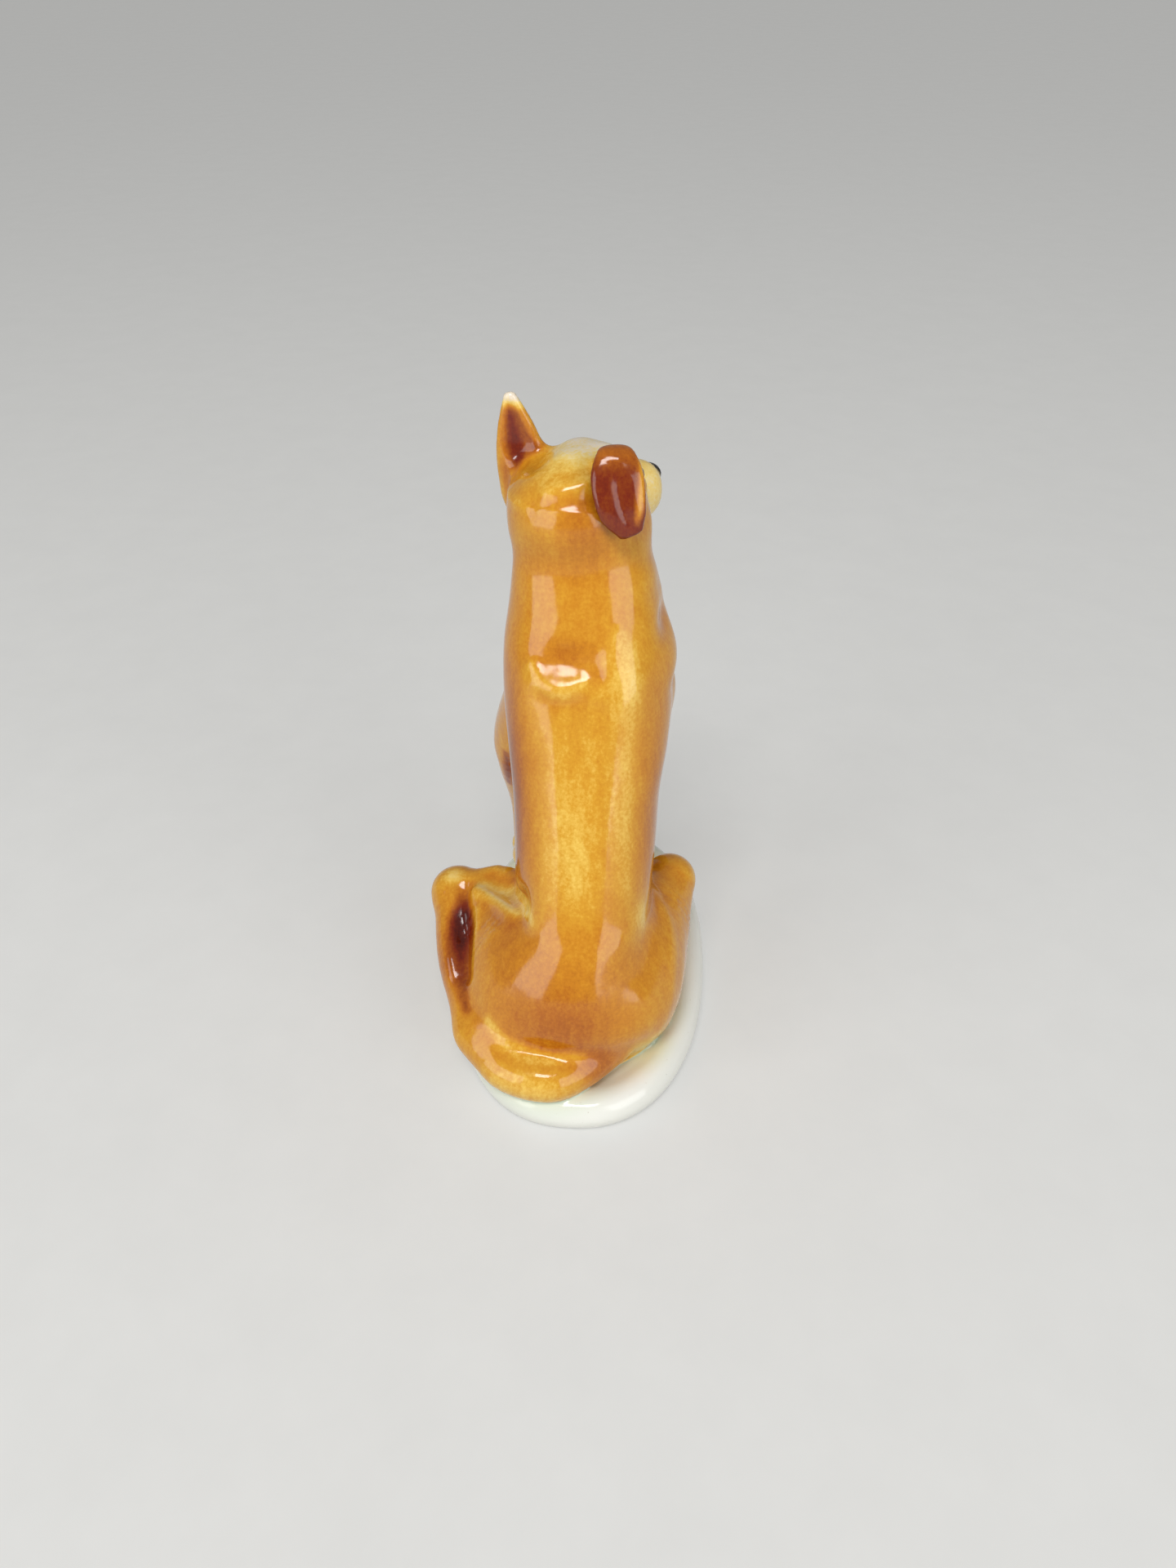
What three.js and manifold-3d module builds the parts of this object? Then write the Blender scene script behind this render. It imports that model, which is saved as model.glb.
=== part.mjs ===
// Porcelain dog sitting upright on an oval plinth, in millimetres, +Z up.
// The dog faces -Y and its left side is +X. The figure is slip cast in a set of moulds:
// plinth, torso, head, two ears, four legs and tail. Each casting is one solid here, and
// the seams where liquid slip joins them before firing are kept as thin gaps.

import * as THREE from 'three';
import { mergeVertices } from 'three/addons/utils/BufferGeometryUtils.js';
import Module from 'manifold-3d';

const wasm = await Module();
wasm.setup();

// Casting sizes
const lutingGap = 0.3; // seam left for the slip between two castings
const castWall = 3.4; // wall of the hollow torso
const cutOverrun = 5; // every cutter reaches this far past what it cuts
const ventRadius = 4; // firing vent through the plinth
const headCoreRadius = 4.8; // drain core up through the neck into the head
const headCoreHeight = 9; // how far that core reaches above the neck seam

// Plinth
const plinthWidth = 56.4;
const plinthLength = 92.4;
const plinthRimHeight = 7.4;
const plinthTroughDepth = 1.3;
const plinthRimWidth = 9;
const plinthFootInset = 2.4;
const plinthSeatHeight = 8.2;
const plinthSquareness = 2.33;

// Torso
const torsoHeight = 99; // from the seat on the plinth to the neck seam
const rumpReach = 37.5; // how far the rump lies behind the plinth's centre
const chestReach = 24.5; // how far the chest lies in front of it
const torsoHalfWidth = 17;
const torsoLean = 1.5; // how far the body leans over to the dog's right
const torsoSquareness = 2.25;

// Head
const skullHalfWidth = 12.6;
const skullHalfLength = 13.4;
const skullHalfHeight = 10.2;
const skullRise = 9; // skull centre above the neck seam
const skullForward = 11.5; // skull centre in front of the plinth's centre
const skullOffset = 0.8; // skull centre to the dog's left
const headTurn = THREE.MathUtils.degToRad(30); // the head looks to the dog's right
const headLift = THREE.MathUtils.degToRad(1); // and slightly up
const muzzleLength = 25; // skull centre to the nose
const muzzleDrop = 5.5; // muzzle centre line below the skull centre
const muzzleHalfWidth = 5.4;
const muzzleHalfHeight = 6.6;
const muzzleSquareness = 2.2;

// Ears
const earHeight = 16.5;
const earHalfWidth = 4.6;
const earThickness = 4.4;
const earScoopDepth = 1.8;
const foldedEarRise = 6; // from its root up to the fold
const foldedEarReach = 9.8; // from its root back to the hanging tip
const foldedEarHang = 12.5; // from the fold down to the tip
const foldedEarTurn = THREE.MathUtils.degToRad(40); // flap turned back from the head's side
const foldedEarHalfWidth = 4.8;
const foldedEarThickness = 3.2;

// Forelegs
const forelegRadius = 4.9;
const leftElbowSpread = 15.8; // elbow centre out from the middle of the body
const rightElbowSpread = 12;
const elbowReach = 19; // elbows in front of the plinth's centre
const elbowHeight = 41; // above the seat
const pawHalfWidth = 5.4;
const pawHalfLength = 7.6;
const pawHeight = 8;
const forePawReach = 31; // paws in front of the plinth's centre
const leftForePawSpread = 15.5;
const rightForePawSpread = 8.5;

// Hind legs
const leftKneeHeight = 22.8; // above the seat
const rightKneeHeight = 24;
const leftKneeSpread = 28.7;
const rightKneeSpread = 19.4;
const leftKneeReach = -1.6; // knees in front of the plinth's centre
const rightKneeReach = 4.5;
const thighHalfWidth = 10.8;
const thighHalfDepth = 13.4;
const thighSpread = 12.5; // thigh centre line out from the middle of the body
const thighReach = 14; // thickest part of the thigh behind the plinth's centre
const leftHaunchSpread = 13; // fullest low part of the haunch beside the rump
const rightHaunchSpread = 10.5;
const leftHaunchReach = 27;
const rightHaunchReach = 24;
const kneeRadius = 5.2;
const shankRadius = 4.6;
const leftHockReach = 31.5; // hocks behind the plinth's centre
const rightHockReach = 17;
const leftHockSpread = 19;
const rightHockSpread = 17;
const hindPawReach = 15;
const leftHindPawSpread = 20;
const rightHindPawSpread = 17;

// Tail
const tailRadius = 4.9;
const tailRootSpread = 9;
const tailStandoff = 3.2; // tail's centre line behind the rump at the back of its sweep

// Glaze colours
const glazeRoughness = 0.12;
const caramelGlaze = 0xc07a22;
const darkGlaze = 0x8a4510;
const ochreGlaze = 0xd39a45;
const whiteGlaze = 0xebece2;

// Mesh fineness, as counts
const ringPoints = 16;
const torsoRingPoints = 26;
const plinthRingPoints = 44;
const torsoLevelCount = 18;
const stepsPerStation = 2;
const capRings = 2;

const axisX = new THREE.Vector3(1, 0, 0);
const axisZ = new THREE.Vector3(0, 0, 1);

// Point on a rounded oval of half-widths across and deep; squareness 2 is an ellipse
function ovalPoint(angle, across, deep, squareness) {
  const bend = (value) => Math.sign(value) * Math.abs(value) ** (2 / squareness);
  return [across * bend(Math.cos(angle)), deep * bend(Math.sin(angle))];
}

function ringAngles(count) {
  return Array.from({ length: count }, (_, i) => (i / count) * 2 * Math.PI);
}

// Closed skin over rings of equally many points, with a point closing each end
function loft(rings, startPole, endPole) {
  const count = rings[0].length;
  const points = [...rings.flat(), startPole, endPole];
  const startIndex = points.length - 2;
  const endIndex = points.length - 1;
  const faces = [];
  for (let j = 0; j < count; j += 1) {
    const next = (j + 1) % count;
    for (let i = 0; i + 1 < rings.length; i += 1) {
      const low = i * count;
      const high = low + count;
      faces.push(low + j, low + next, high + next);
      faces.push(low + j, high + next, high + j);
    }
    const last = (rings.length - 1) * count;
    faces.push(startIndex, next, j);
    faces.push(endIndex, last + j, last + next);
  }
  const geometry = new THREE.BufferGeometry().setFromPoints(points);
  geometry.setIndex(faces);
  return signedVolume(geometry) < 0 ? turnedInsideOut(geometry) : geometry;
}

function signedVolume(geometry) {
  const place = geometry.getAttribute('position');
  const index = geometry.getIndex();
  const corners = [0, 1, 2].map(() => new THREE.Vector3());
  let total = 0;
  for (let i = 0; i < index.count; i += 3) {
    corners.forEach((corner, k) => corner.fromBufferAttribute(place, index.getX(i + k)));
    total += corners[0].dot(corners[1].clone().cross(corners[2])) / 6;
  }
  return total;
}

function turnedInsideOut(geometry) {
  const index = Array.from(geometry.getIndex().array);
  geometry.setIndex(index.map((_, i) => index[i - (i % 3) + 2 - (i % 3)]));
  return geometry;
}

// Round form swept through stations of centre, half-width across and half-depth
function limb(stations, reference = axisX, squareness = 2) {
  const path = new THREE.CatmullRomCurve3(stations.map((s) => s.at));
  const girth = new THREE.CatmullRomCurve3(
    stations.map((s) => new THREE.Vector3(s.across, s.deep, 0)),
  );
  const ringAt = (t, along, shrink) => {
    const centre = path.getPoint(t);
    const size = girth.getPoint(t).multiplyScalar(shrink);
    const tangent = path.getTangent(t);
    const side = reference.clone().addScaledVector(tangent, -reference.dot(tangent)).normalize();
    const up = tangent.clone().cross(side);
    centre.addScaledVector(tangent, along);
    return ringAngles(ringPoints).map((angle) => {
      const [x, y] = ovalPoint(angle, size.x, size.y, squareness);
      return centre.clone().addScaledVector(side, x).addScaledVector(up, y);
    });
  };
  const capReach = (t) => Math.min(girth.getPoint(t).x, girth.getPoint(t).y);
  const capStep = Math.PI / 2 / (capRings + 1);
  const capAngles = Array.from({ length: capRings }, (_, i) => (i + 1) * capStep);
  const startCap = capAngles.map((a) => ringAt(0, -capReach(0) * Math.sin(a), Math.cos(a)));
  const endCap = capAngles.map((a) => ringAt(1, capReach(1) * Math.sin(a), Math.cos(a)));
  const steps = (stations.length - 1) * stepsPerStation;
  const body = Array.from({ length: steps + 1 }, (_, i) => ringAt(i / steps, 0, 1));
  const startPole = path.getPoint(0).addScaledVector(path.getTangent(0), -capReach(0));
  const endPole = path.getPoint(1).addScaledVector(path.getTangent(1), capReach(1));
  return loft([...startCap.reverse(), ...body, ...endCap], startPole, endPole);
}

// Copy of a geometry whose shared corners are one vertex
function welded(geometry) {
  const plain = geometry.clone();
  plain.deleteAttribute('normal');
  plain.deleteAttribute('uv');
  return mergeVertices(plain);
}

// The same form with its whole skin moved out along its normals
function swollen(geometry, distance) {
  const grown = welded(geometry);
  grown.computeVertexNormals();
  const place = grown.getAttribute('position');
  const normal = grown.getAttribute('normal');
  for (let i = 0; i < place.count; i += 1) {
    place.setXYZ(
      i,
      place.getX(i) + normal.getX(i) * distance,
      place.getY(i) + normal.getY(i) * distance,
      place.getZ(i) + normal.getZ(i) * distance,
    );
  }
  return grown;
}

function solid(geometry) {
  const merged = welded(geometry);
  return new wasm.Manifold(new wasm.Mesh({
    numProp: 3,
    vertProperties: new Float32Array(merged.getAttribute('position').array),
    triVerts: new Uint32Array(merged.getIndex().array),
  }));
}

// One casting: its forms joined, and the same forms swollen by the luting gap
function casting(forms) {
  const join = (list) => list.map(solid).reduce((whole, next) => whole.add(next));
  return {
    body: join(forms),
    clearance: join(forms.map((form) => swollen(form, lutingGap))),
  };
}

function cutBy(body, neighbours) {
  return neighbours.reduce((rest, neighbour) => rest.subtract(neighbour.clearance), body);
}

function namedMesh(name, body, color) {
  const result = body.getMesh();
  const geometry = new THREE.BufferGeometry();
  geometry.setAttribute('position', new THREE.BufferAttribute(result.vertProperties, 3));
  geometry.setIndex(new THREE.BufferAttribute(result.triVerts, 1));
  geometry.computeVertexNormals();
  const material = new THREE.MeshStandardMaterial({
    color,
    roughness: glazeRoughness,
    metalness: 0,
  });
  const mesh = new THREE.Mesh(geometry, material);
  mesh.name = name;
  return mesh;
}

function at(x, y, z) {
  return new THREE.Vector3(x, y, z);
}

// Plinth: flat underside, rounded rim, shallow trough and a seat that swells up in the middle
function plinthForm() {
  const ovalRing = (inset, height) => ringAngles(plinthRingPoints).map((angle) => {
    const [x, y] = ovalPoint(
      angle,
      plinthWidth / 2 - inset,
      plinthLength / 2 - inset,
      plinthSquareness,
    );
    return at(x, y, height);
  });
  const troughHeight = plinthRimHeight - plinthTroughDepth;
  // Shares of the foot inset and the rim height up the outer side, then of the rim width inward
  const sideShares = [[1, 0], [0.45, 0.06], [0.08, 0.26], [0, 0.5], [0.3, 0.76]];
  const sideRings = sideShares.map(([inset, height]) => (
    ovalRing(inset * plinthFootInset, height * plinthRimHeight)
  ));
  const rimShares = [[0.22, 0.93], [0.4, 1], [0.62, 0.98]];
  const rimRings = rimShares.map(([inset, height]) => (
    ovalRing(inset * plinthRimWidth, height * plinthRimHeight)
  ));
  return loft(
    [...sideRings, ...rimRings,
      ovalRing(plinthRimWidth, troughHeight),
      ovalRing(plinthRimWidth * 1.5, troughHeight),
      ovalRing(plinthRimWidth * 2, plinthSeatHeight)],
    at(0, 0, 0),
    at(0, 0, plinthSeatHeight),
  );
}

// Torso: level sections from the seat to the neck seam.
// Shares of torso height, rump reach, chest reach, half width and lean.
const torsoShares = [
  [0.0, 0.88, 0.1, 0.98, 0.6],
  [0.05, 0.95, 0.14, 1.13, 0.6],
  [0.12, 1.0, 0.18, 1.17, 0.3],
  [0.18, 0.98, 0.21, 1.09, -0.1],
  [0.24, 0.92, 0.25, 0.95, 0.0],
  [0.3, 0.85, 0.31, 0.82, 0.9],
  [0.35, 0.76, 0.37, 0.85, 0.8],
  [0.43, 0.66, 0.48, 0.865, 0.9],
  [0.53, 0.555, 0.64, 0.89, 0.9],
  [0.63, 0.46, 0.8, 0.96, 1.0],
  [0.73, 0.37, 0.94, 1.0, 0.9],
  [0.82, 0.27, 1.0, 0.985, 0.8],
  [0.91, 0.13, 0.93, 0.89, 0.6],
  [1.0, 0.03, 0.82, 0.775, 0.0],
];

// Value of one column of shares at a height, on a smooth curve through the rows
function smoothShare(rows, column, height) {
  const found = rows.findIndex((row) => row[0] >= height);
  const upper = Math.max(1, found);
  const lower = upper - 1;
  const slopeAt = (i) => {
    const before = rows[Math.max(0, i - 1)];
    const after = rows[Math.min(rows.length - 1, i + 1)];
    return (after[column] - before[column]) / (after[0] - before[0]);
  };
  const span = rows[upper][0] - rows[lower][0];
  const t = (height - rows[lower][0]) / span;
  const fromLower = (2 * t ** 3 - 3 * t ** 2 + 1) * rows[lower][column];
  const fromUpper = (3 * t ** 2 - 2 * t ** 3) * rows[upper][column];
  const fromLowerSlope = (t ** 3 - 2 * t ** 2 + t) * slopeAt(lower);
  const fromUpperSlope = (t ** 3 - t ** 2) * slopeAt(upper);
  return fromLower + fromUpper + (fromLowerSlope + fromUpperSlope) * span;
}

function torsoSection(share, shrink = 0) {
  const columns = [1, 2, 3, 4].map((column) => smoothShare(torsoShares, column, share));
  const [rump, chest, width, lean] = columns;
  const back = rump * rumpReach - shrink;
  const front = -chest * chestReach + shrink;
  return {
    x: -lean * torsoLean,
    y: (back + front) / 2,
    z: plinthSeatHeight + share * torsoHeight,
    halfWidth: width * torsoHalfWidth - shrink,
    halfDepth: (back - front) / 2,
  };
}

function torsoRing(share, shrink, height) {
  const section = torsoSection(share, shrink);
  return ringAngles(torsoRingPoints).map((angle) => {
    const [x, y] = ovalPoint(angle, section.halfWidth, section.halfDepth, torsoSquareness);
    return at(section.x + x, section.y + y, height);
  });
}

const torsoLevels = Array.from({ length: torsoLevelCount + 1 }, (_, i) => i / torsoLevelCount);

function torsoForm() {
  const rings = torsoLevels.map((share) => torsoRing(share, 0, torsoSection(share).z));
  const foot = torsoSection(0);
  const neck = torsoSection(1);
  const sunk = plinthSeatHeight - plinthTroughDepth - cutOverrun;
  return loft(
    [torsoRing(0, 0, sunk), ...rings],
    at(foot.x, foot.y, sunk),
    at(neck.x, neck.y, neck.z),
  );
}

// Hollow of the torso, open at the seat and at the neck seam
function torsoHollow() {
  const foot = torsoSection(0, castWall);
  const neck = torsoSection(1, castWall);
  const low = plinthSeatHeight - cutOverrun - cutOverrun;
  const high = neck.z + cutOverrun;
  const rings = torsoShares.map(([share]) => torsoRing(share, castWall, torsoSection(share).z));
  return loft(
    [torsoRing(0, castWall, low), ...rings, torsoRing(1, castWall, high)],
    at(foot.x, foot.y, low),
    at(neck.x, neck.y, high),
  );
}

// Head: directions of the turned and lifted head
const neckSection = torsoSection(1);
const skullCentre = at(skullOffset, -skullForward, neckSection.z + skullRise);
const headForward = at(
  -Math.sin(headTurn) * Math.cos(headLift),
  -Math.cos(headTurn) * Math.cos(headLift),
  Math.sin(headLift),
);
const headLeft = at(Math.cos(headTurn), -Math.sin(headTurn), 0);
const headUp = headLeft.clone().cross(headForward).negate();

function onHead(left, forward, up) {
  return skullCentre.clone()
    .addScaledVector(headLeft, left)
    .addScaledVector(headForward, forward)
    .addScaledVector(headUp, up);
}

function skullForm() {
  const skull = new THREE.SphereGeometry(1, ringPoints, ringPoints / 2);
  skull.scale(skullHalfWidth, skullHalfLength, skullHalfHeight);
  const turned = new THREE.Matrix4().makeBasis(headLeft, headForward.clone().negate(), headUp);
  turned.setPosition(skullCentre);
  skull.applyMatrix4(turned);
  return skull;
}

function muzzleForm() {
  const down = -muzzleDrop;
  const tip = muzzleLength - muzzleHalfWidth;
  return limb([
    { at: onHead(0, 0, down), across: skullHalfWidth * 0.85, deep: skullHalfHeight * 0.7 },
    {
      at: onHead(0, tip * 0.5, down),
      across: skullHalfWidth * 0.66,
      deep: muzzleHalfHeight * 1.15,
    },
    {
      at: onHead(0, tip * 0.78, down),
      across: muzzleHalfWidth * 1.04,
      deep: muzzleHalfHeight * 0.98,
    },
    { at: onHead(0, tip, down), across: muzzleHalfWidth, deep: muzzleHalfHeight * 0.92 },
  ], headLeft, muzzleSquareness);
}

function neckForm() {
  const neck = neckSection;
  const low = neck.z + lutingGap;
  const levelRing = (grow, height, slide) => ringAngles(torsoRingPoints).map((angle) => {
    const [x, y] = ovalPoint(angle, neck.halfWidth * grow, neck.halfDepth * grow, torsoSquareness);
    return at(
      THREE.MathUtils.lerp(neck.x, skullCentre.x, slide) + x,
      THREE.MathUtils.lerp(neck.y, skullCentre.y, slide) + y,
      height,
    );
  });
  return loft(
    [
      levelRing(1, low, 0),
      levelRing(0.95, neck.z + skullRise / 2, 0.5),
      levelRing(0.8, skullCentre.z, 1),
    ],
    at(neck.x, neck.y, low),
    skullCentre.clone(),
  );
}

function headCore() {
  const length = headCoreHeight + cutOverrun;
  const core = new THREE.CylinderGeometry(headCoreRadius, headCoreRadius, length, ringPoints);
  core.rotateX(Math.PI / 2);
  core.translate(neckSection.x, neckSection.y, neckSection.z + headCoreHeight - length / 2);
  return core;
}

// Upright left ear: a leaf with a scooped face turned back
function uprightEarForms() {
  const base = onHead(skullHalfWidth, skullHalfLength * 0.04, skullHalfHeight * 0.1);
  const lean = at(0.14, 0, 1).normalize();
  const station = (share, across, deep) => ({
    at: base.clone().addScaledVector(lean, share * earHeight),
    across,
    deep,
  });
  // Shares of ear height, half width and thickness
  const leafShares = [
    [0, 0.82, 1],
    [0.3, 1, 0.95],
    [0.6, 0.8, 0.75],
    [0.85, 0.45, 0.5],
    [1, 0.18, 0.3],
  ];
  const leaf = limb(leafShares.map(([rise, wide, thick]) => (
    station(rise, wide * earHalfWidth, thick * earThickness / 2)
  )));
  const scoop = limb(leafShares.slice(0, 4).map(([rise, wide]) => {
    const place = station(rise, wide * earHalfWidth * 0.55, earScoopDepth);
    place.at.y += earThickness / 2;
    return place;
  }));
  return { leaf, scoop };
}

// Folded right ear: rises from the skull, turns over and hangs down behind
function foldedEarForm() {
  const across = headLeft.clone().applyAxisAngle(axisZ, foldedEarTurn);
  const out = axisZ.clone().cross(across);
  const root = onHead(-skullHalfWidth * 0.6, skullHalfLength * 0.02, skullHalfHeight * 0.65);
  // Shares of reach, rise, hang, half width, thickness, and half widths that the tip leans out
  const earShares = [
    [0, 0, 0, 0.6, 1, 0],
    [0.2, 0.8, 0, 0.64, 1, 0],
    [0.47, 1, 0, 0.76, 0.9, 0],
    [0.74, 1, 0.22, 1, 0.8, 0],
    [0.93, 1, 0.55, 0.92, 0.8, 0.1],
    [1, 1, 0.78, 0.68, 0.75, 0.34],
    [1.02, 1, 0.96, 0.4, 0.7, 0.58],
  ];
  const stations = earShares.map(([reach, rise, hang, wide, thick, aside]) => ({
    at: root.clone()
      .addScaledVector(out, reach * foldedEarReach)
      .addScaledVector(across, -aside * foldedEarHalfWidth)
      .addScaledVector(axisZ, rise * foldedEarRise - hang * foldedEarHang),
    across: wide * foldedEarHalfWidth,
    deep: thick * foldedEarThickness / 2,
  }));
  return limb(stations, across);
}

// Foreleg: from the shoulder over the elbow to a paw on the plinth
function forelegForms(side, elbowSpread, pawSpread) {
  const shoulder = torsoSection(0.7);
  const elbowZ = plinthSeatHeight + elbowHeight;
  const pawZ = plinthSeatHeight + pawHeight * 0.4;
  const shoulderX = shoulder.x + side * (shoulder.halfWidth - forelegRadius);
  const leg = limb([
    {
      at: at(shoulderX, shoulder.y - shoulder.halfDepth * 0.3, shoulder.z),
      across: forelegRadius,
      deep: forelegRadius * 1.6,
    },
    {
      at: at(side * elbowSpread, -elbowReach * 0.9, elbowZ + forelegRadius * 2),
      across: forelegRadius * 1.02,
      deep: forelegRadius * 1.5,
    },
    {
      at: at(side * elbowSpread, -elbowReach, elbowZ),
      across: forelegRadius,
      deep: forelegRadius * 1.2,
    },
    {
      at: at(
        side * THREE.MathUtils.lerp(elbowSpread, pawSpread, 0.45),
        -THREE.MathUtils.lerp(elbowReach, forePawReach, 0.6),
        THREE.MathUtils.lerp(elbowZ, pawZ, 0.5),
      ),
      across: forelegRadius * 0.86,
      deep: forelegRadius * 0.9,
    },
    {
      at: at(side * pawSpread, -forePawReach * 0.9, pawZ),
      across: forelegRadius * 0.92,
      deep: forelegRadius,
    },
  ]);
  return [leg, pawForm(side * pawSpread, -forePawReach)];
}

function pawForm(x, y) {
  const paw = new THREE.SphereGeometry(1, ringPoints, ringPoints / 2);
  paw.scale(pawHalfWidth, pawHalfLength, pawHeight / 2);
  paw.translate(x, y, plinthSeatHeight + pawHeight * 0.35);
  return paw;
}

function hockHeight() {
  return plinthSeatHeight + shankRadius * 0.8;
}

// Hind leg: thigh from the hip to the knee, haunch that fills it out beside the rump,
// shank back to the hock, and foot forward to the paw
function hindLegForms(side, places) {
  const { kneeSpread, kneeReach, haunchSpread, haunchReach } = places;
  const { hockSpread, hockReach, pawSpread, kneeHeight } = places;
  const kneeZ = plinthSeatHeight + kneeHeight - kneeRadius;
  const hockZ = hockHeight();
  const knee = at(side * kneeSpread, -kneeReach, kneeZ);
  const thighZ = plinthSeatHeight + thighHalfDepth * 0.92;
  const thigh = limb([
    {
      at: at(
        side * thighSpread * 0.8,
        thighReach + thighHalfWidth * 0.9,
        thighZ - thighHalfDepth * 0.2,
      ),
      across: thighHalfWidth * 0.96,
      deep: thighHalfDepth * 0.8,
    },
    {
      at: at(side * thighSpread, thighReach, thighZ),
      across: thighHalfWidth,
      deep: thighHalfDepth,
    },
    {
      at: at(
        side * THREE.MathUtils.lerp(thighSpread, kneeSpread, 0.45),
        THREE.MathUtils.lerp(thighReach, -kneeReach, 0.6),
        THREE.MathUtils.lerp(thighZ, kneeZ, 0.6),
      ),
      across: thighHalfWidth * 0.84,
      deep: thighHalfDepth * 0.72,
    },
    { at: knee, across: kneeRadius, deep: kneeRadius },
  ]);
  const towardKnee = (share) => at(
    side * THREE.MathUtils.lerp(thighSpread, kneeSpread, share),
    THREE.MathUtils.lerp(thighReach, -kneeReach, share),
    THREE.MathUtils.lerp(thighZ, kneeZ, share) + kneeRadius * 0.35,
  );
  const haunchFoot = at(
    side * haunchSpread,
    haunchReach,
    plinthSeatHeight + thighHalfDepth * 0.4,
  );
  const haunch = limb([
    { at: haunchFoot, across: thighHalfWidth * 0.88, deep: thighHalfWidth * 0.88 },
    {
      at: haunchFoot.clone().lerp(towardKnee(0.32), 0.5),
      across: thighHalfWidth * 0.82,
      deep: thighHalfDepth * 0.73,
    },
    { at: towardKnee(0.32), across: thighHalfWidth * 0.58, deep: thighHalfDepth * 0.51 },
    { at: towardKnee(0.6), across: shankRadius, deep: kneeRadius },
  ]);
  const shank = limb([
    { at: knee, across: kneeRadius, deep: kneeRadius },
    {
      at: at(
        side * THREE.MathUtils.lerp(kneeSpread, hockSpread, 0.25),
        THREE.MathUtils.lerp(-kneeReach, hockReach, 0.5),
        THREE.MathUtils.lerp(kneeZ, hockZ, 0.55),
      ),
      across: shankRadius * 1.02,
      deep: shankRadius * 1.4,
    },
    { at: at(side * hockSpread, hockReach, hockZ), across: shankRadius, deep: shankRadius },
  ]);
  const footRadius = shankRadius * 0.9;
  const foot = limb([
    { at: at(side * hockSpread, hockReach, hockZ), across: footRadius, deep: footRadius },
    { at: at(side * pawSpread, 0, hockZ), across: footRadius, deep: footRadius },
    {
      at: at(side * pawSpread, -hindPawReach, hockZ),
      across: pawHalfWidth * 0.9,
      deep: pawHeight * 0.45,
    },
  ]);
  return [thigh, haunch, shank, foot];
}

// Tail: out from under the rump on the dog's right, round the back and into the left hock
function tailForm() {
  const low = plinthSeatHeight + tailRadius * 0.55;
  const sweep = rumpReach + tailStandoff;
  const station = (place, girthShare) => ({
    at: place,
    across: girthShare * tailRadius,
    deep: girthShare * tailRadius,
  });
  return limb([
    station(at(-tailRootSpread, rumpReach * 0.88, low), 0.6),
    station(at(-tailRootSpread * 0.3, rumpReach, low), 0.85),
    station(at(tailRootSpread * 0.5, sweep, low), 1),
    station(at(leftHockSpread * 0.72, THREE.MathUtils.lerp(leftHockReach, sweep, 0.72), low), 1),
    station(at(leftHockSpread, leftHockReach, hockHeight()), 0.85),
  ], axisZ);
}

function ventHole() {
  const length = plinthSeatHeight + cutOverrun * 2;
  const hole = new THREE.CylinderGeometry(ventRadius, ventRadius, length, ringPoints);
  hole.rotateX(Math.PI / 2);
  hole.translate(torsoSection(0).x, torsoSection(0).y, plinthSeatHeight / 2);
  return hole;
}

const plinth = casting([plinthForm()]);
const torso = casting([torsoForm()]);
const head = casting([skullForm(), muzzleForm(), neckForm()]);
const forelegLeft = casting(forelegForms(1, leftElbowSpread, leftForePawSpread));
const forelegRight = casting(forelegForms(-1, rightElbowSpread, rightForePawSpread));
const hindLegLeft = casting(hindLegForms(1, {
  kneeSpread: leftKneeSpread,
  kneeReach: leftKneeReach,
  kneeHeight: leftKneeHeight,
  haunchSpread: leftHaunchSpread,
  haunchReach: leftHaunchReach,
  hockSpread: leftHockSpread,
  hockReach: leftHockReach,
  pawSpread: leftHindPawSpread,
}));
const hindLegRight = casting(hindLegForms(-1, {
  kneeSpread: rightKneeSpread,
  kneeReach: rightKneeReach,
  kneeHeight: rightKneeHeight,
  haunchSpread: rightHaunchSpread,
  haunchReach: rightHaunchReach,
  hockSpread: rightHockSpread,
  hockReach: rightHockReach,
  pawSpread: rightHindPawSpread,
}));
const tail = casting([tailForm()]);
const uprightEar = uprightEarForms();
const foldedEar = casting([foldedEarForm()]);

// Each later casting is cut back from the ones that it is luted to
const torsoBody = cutBy(torso.body, [plinth]).subtract(solid(torsoHollow()));
const headBody = cutBy(head.body, [torso]).subtract(solid(headCore()));
const uprightEarBody = cutBy(solid(uprightEar.leaf), [head]).subtract(solid(uprightEar.scoop));
const foldedEarBody = cutBy(foldedEar.body, [head, torso]);
const forelegLeftBody = cutBy(forelegLeft.body, [plinth, torso]);
const forelegRightBody = cutBy(forelegRight.body, [plinth, torso, forelegLeft]);
const hindLegLeftBody = cutBy(hindLegLeft.body, [plinth, torso, forelegLeft]);
const hindLegRightBody = cutBy(hindLegRight.body, [plinth, torso, forelegRight]);
const tailBody = cutBy(tail.body, [plinth, torso, hindLegLeft, hindLegRight]);

const part = new THREE.Group();
part.name = 'porcelain_dog_figurine';
part.add(
  namedMesh('plinth', plinth.body.subtract(solid(ventHole())), whiteGlaze),
  namedMesh('torso', torsoBody, caramelGlaze),
  namedMesh('head', headBody, ochreGlaze),
  namedMesh('ear_left_upright', uprightEarBody, darkGlaze),
  namedMesh('ear_right_folded', foldedEarBody, darkGlaze),
  namedMesh('foreleg_left', forelegLeftBody, caramelGlaze),
  namedMesh('foreleg_right', forelegRightBody, caramelGlaze),
  namedMesh('hind_leg_left', hindLegLeftBody, caramelGlaze),
  namedMesh('hind_leg_right', hindLegRightBody, caramelGlaze),
  namedMesh('tail', tailBody, caramelGlaze),
);

export default part;
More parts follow.
